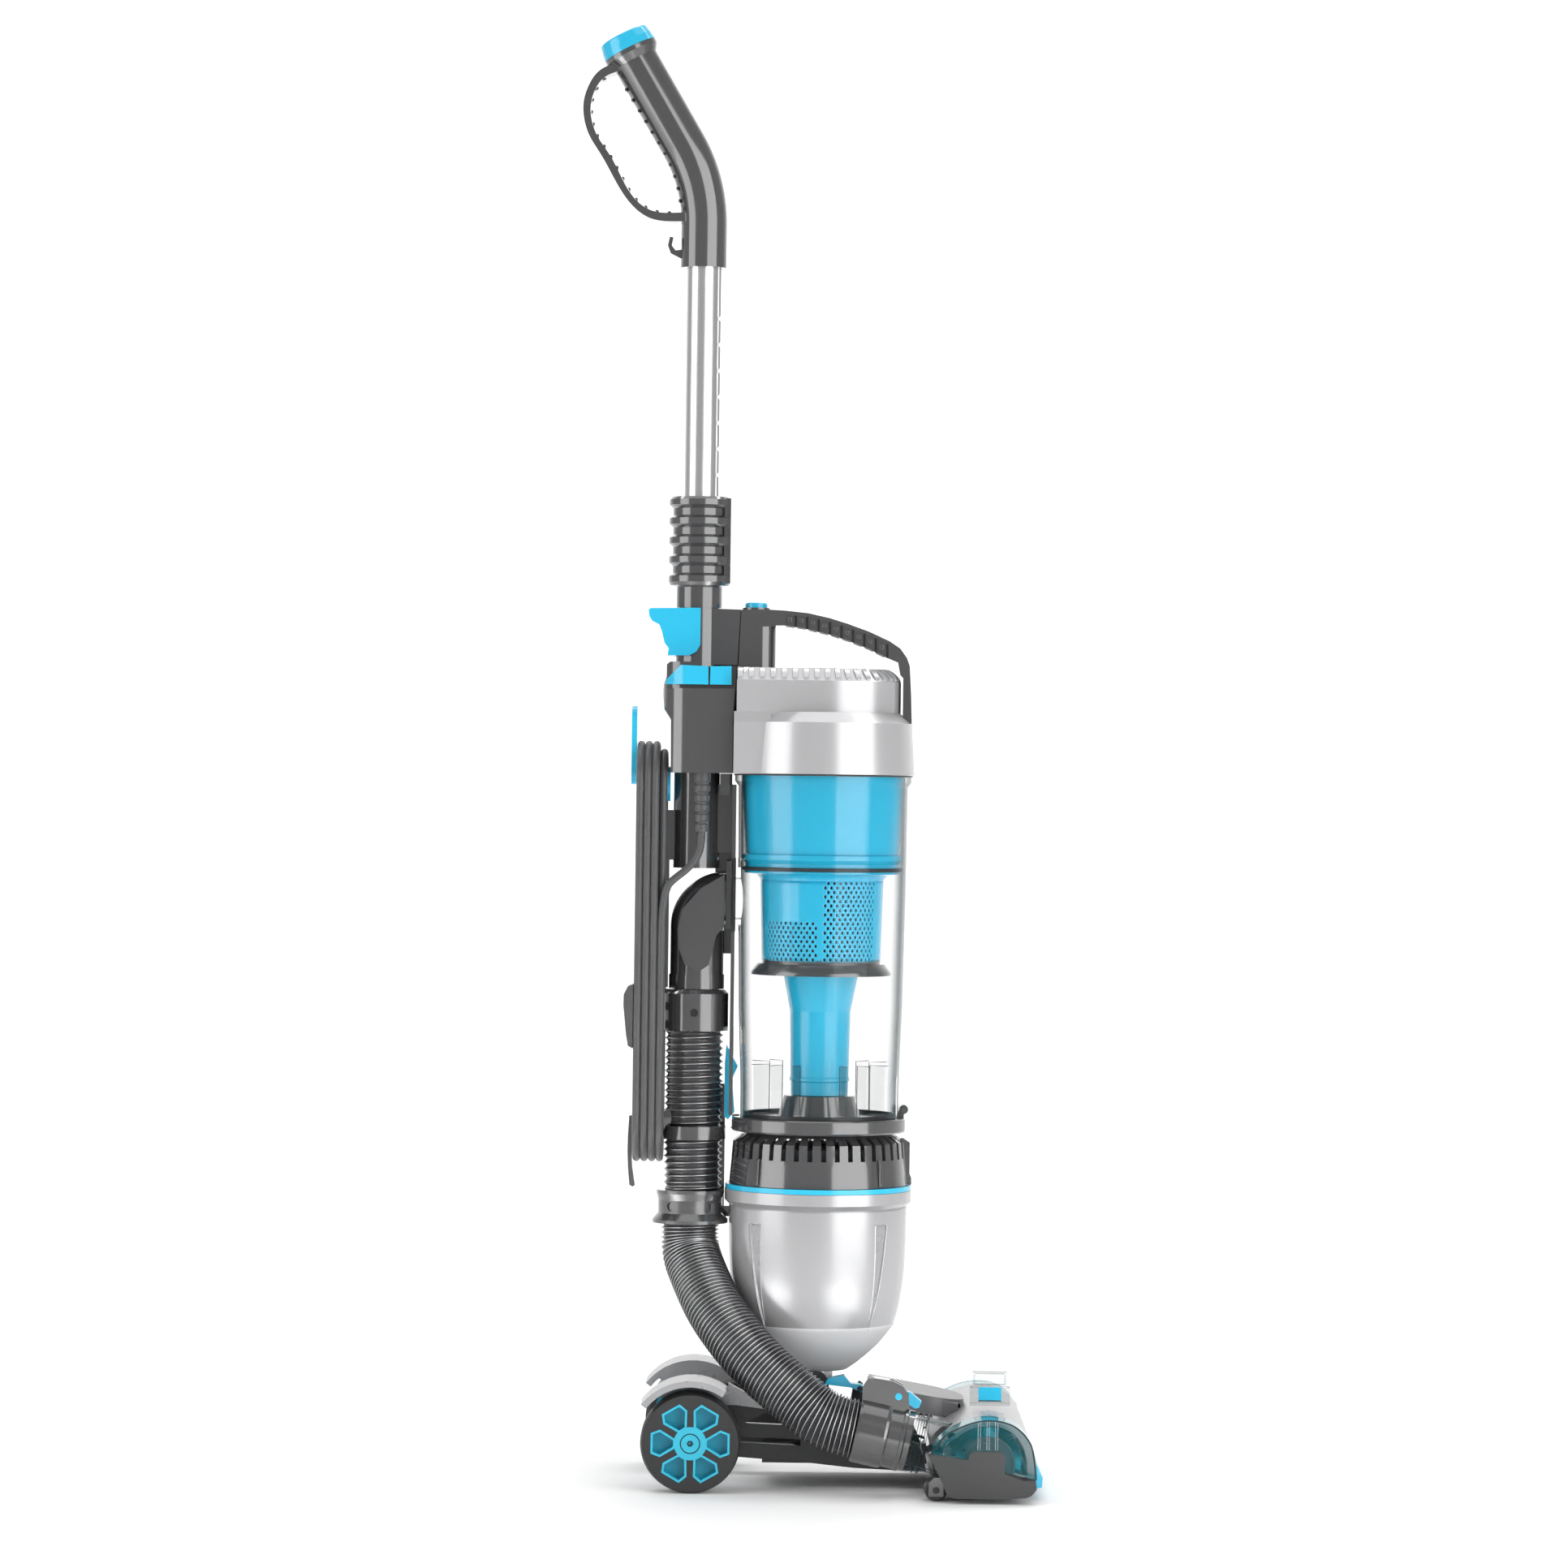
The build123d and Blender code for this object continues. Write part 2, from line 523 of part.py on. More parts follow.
def hose_collar():
    collar = turned([(HOSE_BORE_R, 195.5), (29, 195.5), (29, 198), (24.6, 203), (24.6, 213),
                     (26, 218), (26, 220.5), (HOSE_BORE_R, 220.5)], HOSE_X - 1.6)
    slot = block(-110.7, -85.4, -30, -10, 204.6, 212.4)
    slot += rod_y(-110.7, 208.5, 3.9, -30, -10) + rod_y(-85.4, 208.5, 3.9, -30, -10)
    return collar - both_sides(slot - rod_z(HOSE_X - 1.6, 0, 23.5, 190, 230))


HOSE_ROUTE = [(-97.5, 0, 195.2), (-97.5, 0, 184.5), (-96.2, -4, 171), (-90, -16, 156.5),
              (-77.5, -40, 132.5),
              (-57, -62, 108), (-38, -74, 90), (-17, -83, 74),
              (6, CUFF_Y, 55), (29.4, CUFF_Y, 50.02)]


def hose_flex():
    return tube_along(HOSE_ROUTE, HOSE_R)


# Cord and its hooks
def upper_hook():
    arm = rod_x(0, 530, 13.5, BLADE_X, -116.4)
    blade = extrude(Plane(origin=(BLADE_X - 4, 0, 559), x_dir=(0, 1, 0), z_dir=(1, 0, 0))
                    * RectangleRounded(26, 60, 10), amount=4)
    return arm + blade


def lower_hook():
    arm = rod_x(0, 276, 15.4, BLADE_X, -112) & block(-150, -110, -20, 20, 250, 281)
    ring = turned([(HOSE_R + 0.1, 259.5), (25, 259.5), (25, 269.5), (HOSE_R + 0.1, 269.5)], HOSE_X)
    ring -= block(-125, -118.2, -30, 30, 250, 280)
    blade = plate([(BLADE_X, 277), (BLADE_X, 247), (-141.8, 238), (-139.6, 224), (-141.4, 222.8),
                   (-143.8, 224.2), (-145, 236), (-145.6, 250), (-145.4, 262), (-144.6, 277)],
                  -13, 13)
    return arm + ring + blade - rod_z(HOSE_X, 0, HOSE_R + 0.1, 240, 290)


def strain_relief():
    outline = [(2.9, 538.4), (6.4, 538.4), (6.4, 532)]
    for ring in range(5):
        top = 531 - 7.4 * ring
        wide = 6.2 - 0.35 * ring
        outline += [(wide - 1.2, top), (wide - 1.2, top - 1.4), (wide, top - 2.2),
                    (wide, top - 6)]
    outline += [(4.2, 494), (2.9, 494)]
    return Pos(0, -27, 0) * turned(outline, -92)


LEAD_ROUTE = [(-92, -27, 493.8), (-92, -27.6, 483), (-96, -29, 473), (-103, -30.4, 465),
              (-111.5, -31.4, 458.6), (-118.4, -31.8, 452)]


def cord_lead():
    return tube_along(LEAD_ROUTE, CORD_D / 2)


def stadium(r):
    tall = HANK_TOP_CENTRE_Z - HANK_LOW_CENTRE_Z
    flat = SlotCenterToCenter(tall, 2 * r)
    middle_z = (HANK_TOP_CENTRE_Z + HANK_LOW_CENTRE_Z) / 2
    return Plane(origin=(HANK_LOW_X, 0, middle_z), x_dir=(0, 0, 1), z_dir=(1, 0, 0)) * flat


def cord_hank():
    outer_r = HANK_INNER_R + CORD_LAYERS * (CORD_D + 0.1)
    wide = CORD_COLUMNS * (CORD_D + 0.05)
    return extrude(stadium(outer_r), amount=wide) - extrude(stadium(HANK_INNER_R), amount=wide)


def plug():
    body = plate([(BLADE_X, 329), (-145.8, 331), (-147.4, 340), (-149.6, 362), (-149.4, 370),
                  (-146.4, 376), (BLADE_X, 377.5)], -33, -9)
    blade = block(-146.6, -145, -9, 8, 342, 348.4)
    return body + blade + Pos(0, 0, 14) * blade


# Dust bin
def bin_wall():
    wall = turned([(58.5, BIN_LOW_Z), (60.5, BIN_LOW_Z), (60.5, 300), (62.6, 360), (64.1, 447),
                   (64.8, 529), (67.5, 532.8), (67.5, BIN_TOP_Z), (62.8, BIN_TOP_Z), (62.8, 529),
                   (62.1, 447), (60.6, 360), (58.5, 300)])
    port = block(-67, -60, -21, 21, 423, 467) - rod_z(0, 0, 63.2, 400, 500)
    wall += port
    wall -= rod_x(0, 443, 16, -70, -50)
    lug = plate([(56, 279), (56, 308.3), (69.4, 307.8), (69.4, 284), (64.4, 279)], 10.3, 15)
    lug -= rod_z(0, 0, 59.5, 270, 320)
    lug += rod_y(DOOR_PIN_X, DOOR_PIN_Z, 5, 10.3, 15)
    lug -= rod_y(DOOR_PIN_X, DOOR_PIN_Z, 2.2 + RUNNING_FIT, 5, 20)
    fin = block(44, 59.7, -0.8, 0.8, 281, 318)
    fins = Part() + [Rot(0, 0, turn) * fin for turn in (30, 50, 70, 110, 130, 150)]
    return wall + both_sides(lug) + both_sides(fins)


def cyclone_cone():
    return turned([(62.2, 537.5), (58.8, 478), (61.4, 477), (61.4, 473.5), (59, 470.5),
                   (59, 465), (40, 465), (40, 467.5), (56.4, 468), (56.4, 478.5), (59.6, 537.5)])


def shroud():
    return turned([(59.6, 464.8), (59.6, 463), (50, 461.5), (47, 453.5), (45.4, 394.8),
                   (48.6, 394.8), (53.6, 388), (53.6, 385.7), (30, 385.7), (30, 388),
                   (48, 388.4), (43.4, 393), (43.4, 394.8), (45, 453.8), (48, 463), (48, 464.8)])


def dust_tube():
    return turned([(26.7, 385.5), (28.7, 385.5), (23.2, 358), (22.2, 308), (22.8, 307),
                   (22.8, 305), (22, 304), (21.8, 294), (19.8, 294), (20.2, 308), (21.2, 358)])


def lid_plan(inset):
    """Plan of the lid's upper part: flat sides and a rounded front."""
    rear = Pos(-LID_REAR / 2, 0) * Rectangle(LID_REAR - 2 * inset, 2 * (LID_HALF - inset))
    return rear + Ellipse(LID_FRONT - inset, LID_HALF - inset)


def bin_lid():
    low = turned([(0, 538.6), (69.1, 538.6), (66.9, 577.7), (58, 585.5), (0, 585.5)], 0.6)
    side = [(-49.6, 538.6), (49.6, 538.6), (49.6, 577.7), (46, 585.5), (-46, 585.5),
            (-49.6, 577.7)]
    panels = extrude(make_face(Polyline(*[(-68.4, y, z) for y, z in side], close=True)),
                     amount=28, dir=(1, 0, 0))
    upper = extrude(Pos(0, 0, 577) * lid_plan(0), amount=42)
    upper = chamfer(upper.faces().sort_by(Axis.Z)[-1].edges(), 9.5)
    hollow = turned([(0, 538.5), (65.6, 538.5), (63.2, 574.6), (0, 574.6)], 0.6)
    hollow += extrude(Pos(0, 0, 574) * lid_plan(3), amount=34)
    handle_seat = block(59.4, 72, -15.3, 15.3, 577.6, 590)
    rest = turned([(40, 574.5), (62, 574.5), (62, 577.5), (40, 577.5)])
    return low + panels + upper - hollow - handle_seat + rest


def foam_filter():
    return rod_z(0, 0, 49.4, 546, 574)


HANDLE_TOP = [(-46, 663.6), (-31.6, 663), (-13.1, 661.2), (3.4, 657.6), (17.9, 653.2),
              (33.4, 647.7), (48.9, 640.7), (57.2, 635.2), (62.4, 628), (64.6, 621.9),
              (65.9, 600.3), (66.7, 577.9)]
HANDLE_UNDER = [(59.7, 577.9), (59.7, 612.5), (57.4, 615), (55.6, 624.4), (44.9, 628.8),
                (33.6, 634.3), (18.1, 640.3), (3.6, 644.9), (-17, 649.6), (-31.4, 651.5),
                (-37.6, 651.4), (-37.6, 619.6), (-66, 619.6), (-64.1, 663.3)]


def height_on(line, x):
    """Height of a side outline at X."""
    for (x0, z0), (x1, z1) in zip(line, line[1:]):
        if min(x0, x1) <= x <= max(x0, x1) and x0 != x1:
            return z0 + (z1 - z0) * (x - x0) / (x1 - x0)
    return line[-1][1]


def side_cell(x_low, x_high, over, y_low, y_high):
    """Panel between the handle's top and underside, seen from the side."""
    corners = [(x_low, height_on(HANDLE_TOP, x_low) - 3), (x_high, height_on(HANDLE_TOP, x_high) - 3),
               (x_high, height_on(HANDLE_UNDER, x_high) + over),
               (x_low, height_on(HANDLE_UNDER, x_low) + over)]
    return plate(corners, y_low, y_high)


def carry_handle():
    handle = plate(HANDLE_TOP + HANDLE_UNDER, -15, 15)
    handle -= block(-49.6, -37, -16, 16, 619, 650.6) - block(-49.7, -36, -3, 3, 618, 651) \
        - both_sides(rod_z(-49.6, 3, 12, 618, 651))
    for index in range(9):
        x = -30.6 + 8.75 * index
        cell = side_cell(x, x + 7.1, 1, 14.2, 16)
        middle = (height_on(HANDLE_TOP, x + 3.5) + height_on(HANDLE_UNDER, x + 3.5)) / 2 - 0.6
        cell -= block(x + 1.7, x + 5.3, 14, 17, middle - 1.9, middle + 1.9)
        handle -= both_sides(cell + side_cell(x + 7.1, x + 8.75, -2, 11.9, 16))
    for index in range(9):
        x = -30 + 8.6 * index
        drop = 0.0021 * (x + 30) ** 2 + 0.02 * (x + 30)
        handle -= block(x, x + 6.4, -11, 11, 640 - drop, 656 - drop)
    handle += rod_z(-52.9, 0, 10.7, 662, 665)
    handle -= rod_z(-52.9, 0, 8.8, 658, 670)
    return handle - rod_z(-52.9, 0, 4.1, 645, 660)


def release_button():
    cap = turned([(0, 661.6), (8.6, 661.6), (8.6, 668), (7.6, 669), (0, 669)], -52.9)
    return cap + rod_z(-52.9, 0, 4, 649, 662)


def bin_door():
    door = turned([(0, 266.7), (66.4, 266.7), (67.4, 268), (67.4, 276.5), (66.6, 277.5),
                   (31.5, 277.5), (27, 293.6), (0, 293.6)])
    door -= block(63.5, 70, -16.5, 16.5, 260, 280)
    door -= block(-70, -61, -11, 11, 269.3, 280)
    arm = plate([(58.5, 276), (61, 284), (66, 284), (63.5, 276)], -9.6, 9.6)
    arm += rod_y(DOOR_PIN_X, DOOR_PIN_Z, 3.4, -9.6, 9.6)
    arm -= rod_z(0, 0, 60.9, 277.6, 300)
    return door + arm + rod_y(DOOR_PIN_X, DOOR_PIN_Z, 2.2, -15, 15)


def bin_catch():
    return plate([(-71.4, 331.6), (-72.4, 317.2), (-72.4, 277.1), (-69.5, 274.6),
                  (-64.6, 280.3), (-65.2, 287.5), (-66, 298.8), (-66, 307), (-62.4, 315.3)], -9, 9)


# Wand and handle
def grip_collar():
    outline = [(12.68, 482), (15.45, 482), (15.45, 664.4), (17.5, 664.4), (17.5, 680),
               (22.5, 681.4)]
    for ring in range(4):
        low = 684 + 14.7 * ring
        outline += [(23.8, low), (23.8, low + 4.6), (20.9, low + 6.7), (20.9, low + 12)]
    outline += [(23.8, 742.8), (23.8, 747), (22, 749), (12.68, 749)]
    collar = turned(outline, WAND_X)
    front = block(-78, -73, -12, 12, 683, 748)
    for ring in range(4):
        low = 688.5 + 14.7 * ring
        front -= block(-75, -72, -14, -8, low, low + 7)
    collar += front
    return collar - block(-86, -82.7, -4.2, 4.2, 480, 750)


def wand_tube():
    tube = turned([(10.6, 640), (12.6, 640), (12.6, TUBE_TOP_Z), (10.6, TUBE_TOP_Z)], WAND_X)
    rail = block(-85, -83, -4, 4, 640, TUBE_TOP_Z) - rod_z(WAND_X, 0, 12, 630, 990)
    tube += rail
    for index in range(7):
        z = 766 + 19.9 * index
        tube -= plate([(-82, z - 3), (-82, z + 3), (-85.2, z)], -6, 6)
    return tube


GRIP_PATH = [(WAND_X, 0, 924), (WAND_X, 0, GRIP_BEND_Z), (GRIP_TOP[0], 0, GRIP_TOP[1])]
LOOP_OUTER = [(-160, 1079), (-169.4, 1077.3), (-178.4, 1072.3), (-185.7, 1061.7),
              (-189.6, 1048.1), (-189.2, 1037.6), (-185.2, 1024.1), (-176, 1009.2),
              (-157.6, 977.9), (-148.4, 967.5), (-137.8, 960.9), (-124, 958.6), (-106, 959)]
LOOP_INNER = [(-156, 1073), (-165.6, 1071.7), (-175.3, 1066.4), (-181.2, 1057.3),
              (-184, 1046.7), (-183.1, 1034.7), (-178.5, 1022.7), (-168.5, 1007.8),
              (-151.6, 978), (-144, 970.6), (-134.9, 966.2), (-122, 965.1), (-106, 965.7)]


def hand_loop():
    outer = Spline(*[(x, -10, z) for x, z in LOOP_OUTER])
    inner = Spline(*[(x, -10, z) for x, z in LOOP_INNER])
    ends = [Line(outer @ 0, inner @ 0), Line(outer @ 1, inner @ 1)]
    return extrude(make_face([outer, inner] + ends), amount=20, dir=(0, 1, 0))


def on_grip_top(shape):
    return Pos(GRIP_TOP[0], 0, GRIP_TOP[1]) * Rot(0, -GRIP_LEAN, 0) * shape


def handle_grip():
    path = FilletPolyline(*GRIP_PATH, radius=120)
    outer = sweep(Pos(*GRIP_PATH[0]) * Circle(17.6), path=path)
    bore = sweep(Pos(*GRIP_PATH[0]) * Circle(15), path=path)
    flange = on_grip_top(turned([(14, -2), (17.4, -2), (21.3, 4), (21.3, 7.2), (14, 7.2)]))
    hook = plate([(-122.6, 947.6), (-124, 940.8), (-121.7, 934.8), (-114, 931), (-112, 938),
                  (-118, 937.1), (-121, 940.8), (-119.8, 947)], -4, 4)
    grip = outer + hand_loop() + flange + hook - bore
    grip -= on_grip_top(rod_z(0, 0, 15, -12, 10))
    sleeve = turned([(12.7, 924), (16, 924), (16, TUBE_TOP_Z), (12.7, TUBE_TOP_Z)], WAND_X)
    sleeve -= block(-86, -82.8, -4.2, 4.2, 920, 990)
    return grip + sleeve


def handle_cap():
    return on_grip_top(turned([(15.5, 7.4), (21.3, 7.4), (20.6, 13), (19.3, 18.6), (18.6, 19.6),
                               (15.5, 19.6)]))


SUB_PARTS = [
    chassis_frame, chassis_cover, neck_fairing, nozzle_base, nozzle_cover, end_windows, end_caps,
    bumper_strip, brush_motor, motor_pulley, drive_belt, duct_neck, lower_cuff, cuff_lever,
    recline_pedal, brush_bar, nozzle_rollers, window_latch, latch_insert, motor_bowl, trim_ring,
    motor_can, motor_fan, exhaust_housing, exhaust_filter, spine, rear_housing, power_paddle,
    brush_paddle, wand_lever, inlet_elbow, inlet_gasket, hose_cuff, hose_straight, hose_collar,
    hose_flex, upper_hook, lower_hook, strain_relief, cord_lead, cord_hank, plug, bin_wall,
    cyclone_cone, shroud, dust_tube, bin_lid, foam_filter, carry_handle, release_button, bin_door,
    bin_catch, grip_collar, wand_tube, handle_grip, handle_cap,
]
for build in SUB_PARTS:
    save(build.__name__, build())

for name, build in (("tyre", tyre), ("hub", wheel_hub)):
    left = build()
    save(f"{name}_left", left)
    save(f"{name}_right", mirror(left, Plane.XZ))
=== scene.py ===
import math
import random

import bpy
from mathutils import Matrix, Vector


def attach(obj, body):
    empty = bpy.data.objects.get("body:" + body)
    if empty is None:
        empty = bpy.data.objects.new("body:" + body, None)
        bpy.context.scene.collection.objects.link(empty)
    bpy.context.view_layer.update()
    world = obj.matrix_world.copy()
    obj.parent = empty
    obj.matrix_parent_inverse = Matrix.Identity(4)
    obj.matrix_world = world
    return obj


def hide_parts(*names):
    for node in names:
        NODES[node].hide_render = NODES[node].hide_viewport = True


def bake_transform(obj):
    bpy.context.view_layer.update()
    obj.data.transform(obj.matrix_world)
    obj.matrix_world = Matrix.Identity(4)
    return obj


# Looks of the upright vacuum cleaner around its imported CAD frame. Metres, +Z up, +X forward.
# Sizes below are in millimetres from the bin's axis, as in the part's source, until at() moves
# them into the frame.
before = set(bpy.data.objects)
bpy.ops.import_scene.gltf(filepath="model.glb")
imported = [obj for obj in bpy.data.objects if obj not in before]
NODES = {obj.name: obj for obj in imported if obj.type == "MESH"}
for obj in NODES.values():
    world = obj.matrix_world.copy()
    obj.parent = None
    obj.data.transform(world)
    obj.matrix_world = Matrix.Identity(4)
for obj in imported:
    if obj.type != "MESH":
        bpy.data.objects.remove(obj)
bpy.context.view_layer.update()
RNG = random.Random(7)

MM = 0.001
FRAME_SHIFT = 10.0
HOSE_X = -96.0
HOSE_R = 22.3
CORD_D = 5.8


def at(x, y, z):
    return Vector(((x + FRAME_SHIFT) * MM, y * MM, z * MM))


# Materials
def surface(name, colour, roughness, metallic=0.0, coat=0.0, mottle=0.06, mottle_scale=16.0,
            grain=0.05, grain_scale=1400.0, stretch=(1, 1, 1), alpha=None, sheen=0.0, ior=1.5,
            vary=0.12):
    """Principled finish with cloudy colour and roughness and a fine moulded grain.

    alpha is (face on, edge on) for a clear plastic."""
    material = bpy.data.materials.new(name)
    material.use_nodes = True
    nodes = material.node_tree.nodes
    link = material.node_tree.links.new
    shader = nodes["Principled BSDF"]
    shader.inputs["Metallic"].default_value = metallic
    shader.inputs["Coat Weight"].default_value = coat
    shader.inputs["Coat Roughness"].default_value = 0.06
    shader.inputs["Sheen Weight"].default_value = sheen
    shader.inputs["IOR"].default_value = ior
    place = nodes.new("ShaderNodeTexCoord")
    scaled = nodes.new("ShaderNodeMapping")
    scaled.inputs["Scale"].default_value = stretch
    link(place.outputs["Object"], scaled.inputs["Vector"])
    cloud = nodes.new("ShaderNodeTexNoise")
    cloud.inputs["Scale"].default_value = mottle_scale
    cloud.inputs["Detail"].default_value = 4.0
    link(scaled.outputs["Vector"], cloud.inputs["Vector"])
    tint = nodes.new("ShaderNodeMix")
    tint.data_type = "RGBA"
    dark = [c * (1 - mottle) for c in colour] + [1]
    light = [min(1.0, c * (1 + mottle)) for c in colour] + [1]
    tint.inputs[6].default_value = dark
    tint.inputs[7].default_value = light
    link(cloud.outputs["Fac"], tint.inputs[0])
    link(tint.outputs[2], shader.inputs["Base Color"])
    fine = nodes.new("ShaderNodeTexNoise")
    fine.inputs["Scale"].default_value = grain_scale
    fine.inputs["Detail"].default_value = 2.0
    link(scaled.outputs["Vector"], fine.inputs["Vector"])
    spread = nodes.new("ShaderNodeMapRange")
    spread.inputs["From Min"].default_value = 0.3
    spread.inputs["From Max"].default_value = 0.7
    spread.inputs["To Min"].default_value = roughness * (1 - vary)
    spread.inputs["To Max"].default_value = roughness * (1 + vary)
    link(fine.outputs["Fac"], spread.inputs["Value"])
    link(spread.outputs["Result"], shader.inputs["Roughness"])
    bump = nodes.new("ShaderNodeBump")
    bump.inputs["Strength"].default_value = grain
    bump.inputs["Distance"].default_value = 0.0004
    link(fine.outputs["Fac"], bump.inputs["Height"])
    link(bump.outputs["Normal"], shader.inputs["Normal"])
    if alpha is not None:
        rim = nodes.new("ShaderNodeLayerWeight")
        rim.inputs["Blend"].default_value = 0.5
        solid = nodes.new("ShaderNodeMapRange")
        solid.interpolation_type = "SMOOTHSTEP"
        solid.inputs["From Min"].default_value = 0.45
        solid.inputs["To Min"].default_value = alpha[0]
        solid.inputs["To Max"].default_value = alpha[1]
        link(rim.outputs["Facing"], solid.inputs["Value"])
        link(solid.outputs["Result"], shader.inputs["Alpha"])
    return material


CYAN = (0.016, 0.44, 0.68)
MATERIALS = {
    "cyan_plastic": surface("cyan_gloss", CYAN, 0.2, coat=0.4, mottle=0.04),
    "dark_plastic": surface("charcoal_gloss", (0.046, 0.046, 0.048), 0.15, coat=0.8, grain=0.02,
                            ior=1.8),
    "black_frame": surface("black_satin", (0.028, 0.028, 0.030), 0.42, grain=0.12),
    "silver_paint": surface("silver_metallic_paint", (0.50, 0.50, 0.508), 0.24, metallic=0.45,
                            mottle=0.03, grain=0.0, grain_scale=70.0, ior=1.35, vary=0.04),
    "grey_metallic": surface("grey_metallic_paint", (0.16, 0.16, 0.164), 0.32, metallic=0.4,
                             grain=0.0, grain_scale=70.0, ior=1.35, vary=0.04),
    "steel_tube": surface("brushed_steel", (0.72, 0.72, 0.73), 0.24, metallic=1.0, mottle=0.03,
                          grain=0.008, grain_scale=1600.0, stretch=(1, 1, 0.02)),
    "clear_plastic": surface("clear_moulding", (0.035, 0.07, 0.075), 0.05, mottle=0.02,
                             grain=0.01, alpha=(0.035, 0.93)),
    "smoke_hose": surface("smoke_sleeve", (0.028, 0.028, 0.030), 0.18, mottle=0.08,
                          alpha=(0.86, 1.0)),
    "cord_rubber": surface("cord_rubber_grey", (0.060, 0.060, 0.062), 0.42, grain=0.18,
                           grain_scale=2200.0, sheen=0.2),
    "tyre_rubber": surface("tyre_rubber_black", (0.020, 0.020, 0.021), 0.55, grain=0.3,
                           grain_scale=1200.0),
    "foam": surface("filter_foam", (0.10, 0.11, 0.12), 0.95, mottle=0.3, mottle_scale=500.0,
                    grain=0.9, grain_scale=1500.0),
    "motor_metal": surface("motor_steel", (0.45, 0.44, 0.42), 0.38, metallic=0.9),
    "belt_rubber": surface("belt_rubber_black", (0.022, 0.022, 0.022), 0.6, grain=0.3),
}

# Finishes for single pieces, tuned apart from the shared materials above. The silver, hub and
# black ones are lighter or darker copies that paint light and shade into the colour
WINDOW_TINT = surface("window_teal", (0.010, 0.22, 0.26), 0.05, mottle=0.02, grain=0.01,
                      alpha=(0.12, 0.94))
BRISTLE = surface("bristle_teal", (0.010, 0.46, 0.60), 0.4, mottle=0.2, mottle_scale=300.0)
WIRE = surface("hose_wire", (0.50, 0.50, 0.51), 0.3, metallic=1.0, grain=0.0)
# Darker copy of the silver paint: painted shade on the nozzle and chassis covers and on the bowl's
# flute floors
SILVER_PAINTED_SHADE = surface("silver_paint_painted_shade", (0.36, 0.36, 0.367), 0.28, metallic=0.4, mottle=0.03,
                      grain=0.0, grain_scale=70.0, ior=1.35, vary=0.04)
# Darker copy of the silver paint for the motor bowl: painted shade
SILVER_BOWL_PAINTED_SHADE = surface("silver_paint_bowl_painted_shade", (0.44, 0.44, 0.447), 0.22, metallic=0.5, mottle=0.02,
                      grain=0.0, grain_scale=70.0, ior=1.4, vary=0.03)
BIN_CLEAR = surface("bin_clear", (0.012, 0.05, 0.055), 0.04, mottle=0.02, grain=0.01, ior=2.2,
                    alpha=(0.05, 0.95))
LATCH_TINT = surface("latch_clear", (0.02, 0.09, 0.10), 0.05, mottle=0.02, grain=0.01,
                     alpha=(0.14, 0.97))
# Lighter, matte copy of the silver paint for the bowl's bottom cone: painted light
SILVER_PAINTED_LIGHT = surface("silver_paint_cone_painted_light", (0.66, 0.66, 0.667), 0.5, mottle=0.02, grain=0.0,
                      grain_scale=70.0, ior=1.35, vary=0.03)
# Darker copy of the cyan plastic for the wheel hubs: painted shade
HUB_CYAN_PAINTED_SHADE = surface("hub_cyan_painted_shade", (0.020, 0.42, 0.58), 0.25, coat=0.3, mottle=0.04)
CAP_CHARCOAL = surface("cap_charcoal", (0.052, 0.052, 0.053), 0.5, grain=0.06, ior=1.35)
# Darker teal copy of the cyan for the hub recess floors: painted shade
HUB_FLOOR_PAINTED_SHADE = surface("hub_floor_painted_shade", (0.006, 0.40, 0.52), 0.3, mottle=0.04)
# Near black for marks of painted shade in holes, slots, grooves and along clear edges
PAINTED_SHADE_BLACK = surface("painted_shade_black", (0.002, 0.002, 0.002), 0.7, grain=0.0)
for node in NODES.values():
    for index, old in enumerate(node.data.materials):
        if old is not None and old.name.split(".")[0] in MATERIALS:
            node.data.materials[index] = MATERIALS[old.name.split(".")[0]]
        else:
            print("material not mapped", node.name, old.name if old else None)
# Pieces given a finish of their own; the silver covers, the motor bowl and the hubs get darker
# copies as painted shade
FINISH_AND_PAINTED_SHADE = {
    "end_windows": WINDOW_TINT,
    "window_latch": LATCH_TINT,
    "nozzle_cover": SILVER_PAINTED_SHADE,
    "chassis_cover": SILVER_PAINTED_SHADE,
    "motor_bowl": SILVER_BOWL_PAINTED_SHADE,
    "end_caps": CAP_CHARCOAL,
    "bin_wall": BIN_CLEAR,
    "hub_left": HUB_CYAN_PAINTED_SHADE,
    "hub_right": HUB_CYAN_PAINTED_SHADE,
}
for name, finish in FINISH_AND_PAINTED_SHADE.items():
    NODES[name].data.materials[0] = finish


# Mesh helpers
def piece(name, verts, faces, slot, body, smooth=True, replaced=(), finish=None):
    """Mesh object from millimetre points, in a material slot, riding a body."""
    mesh = bpy.data.meshes.new(name)
    mesh.from_pydata([at(*v) for v in verts], [], faces)
    mesh.validate()
    mesh.materials.append(finish or MATERIALS[slot])
    if smooth:
        mesh.shade_smooth()
    obj = bpy.data.objects.new(name, mesh)
    bpy.context.collection.objects.link(obj)
    if body:
        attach(obj, body)
    if replaced:
        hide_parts(*replaced)
    return obj


def smooth_line(name, points):
    """NURBS curve object with these millimetre control points."""
    curve = bpy.data.curves.new(name, "CURVE")
    curve.dimensions = "3D"
    curve.resolution_u = 8
    spline = curve.splines.new("NURBS")
    spline.points.add(len(points) - 1)
    for control, point in zip(spline.points, points):
        control.co = (*at(*point), 1)
    spline.order_u = 3
    spline.use_endpoint_u = True
    obj = bpy.data.objects.new(name, curve)
    bpy.context.collection.objects.link(obj)
    return obj


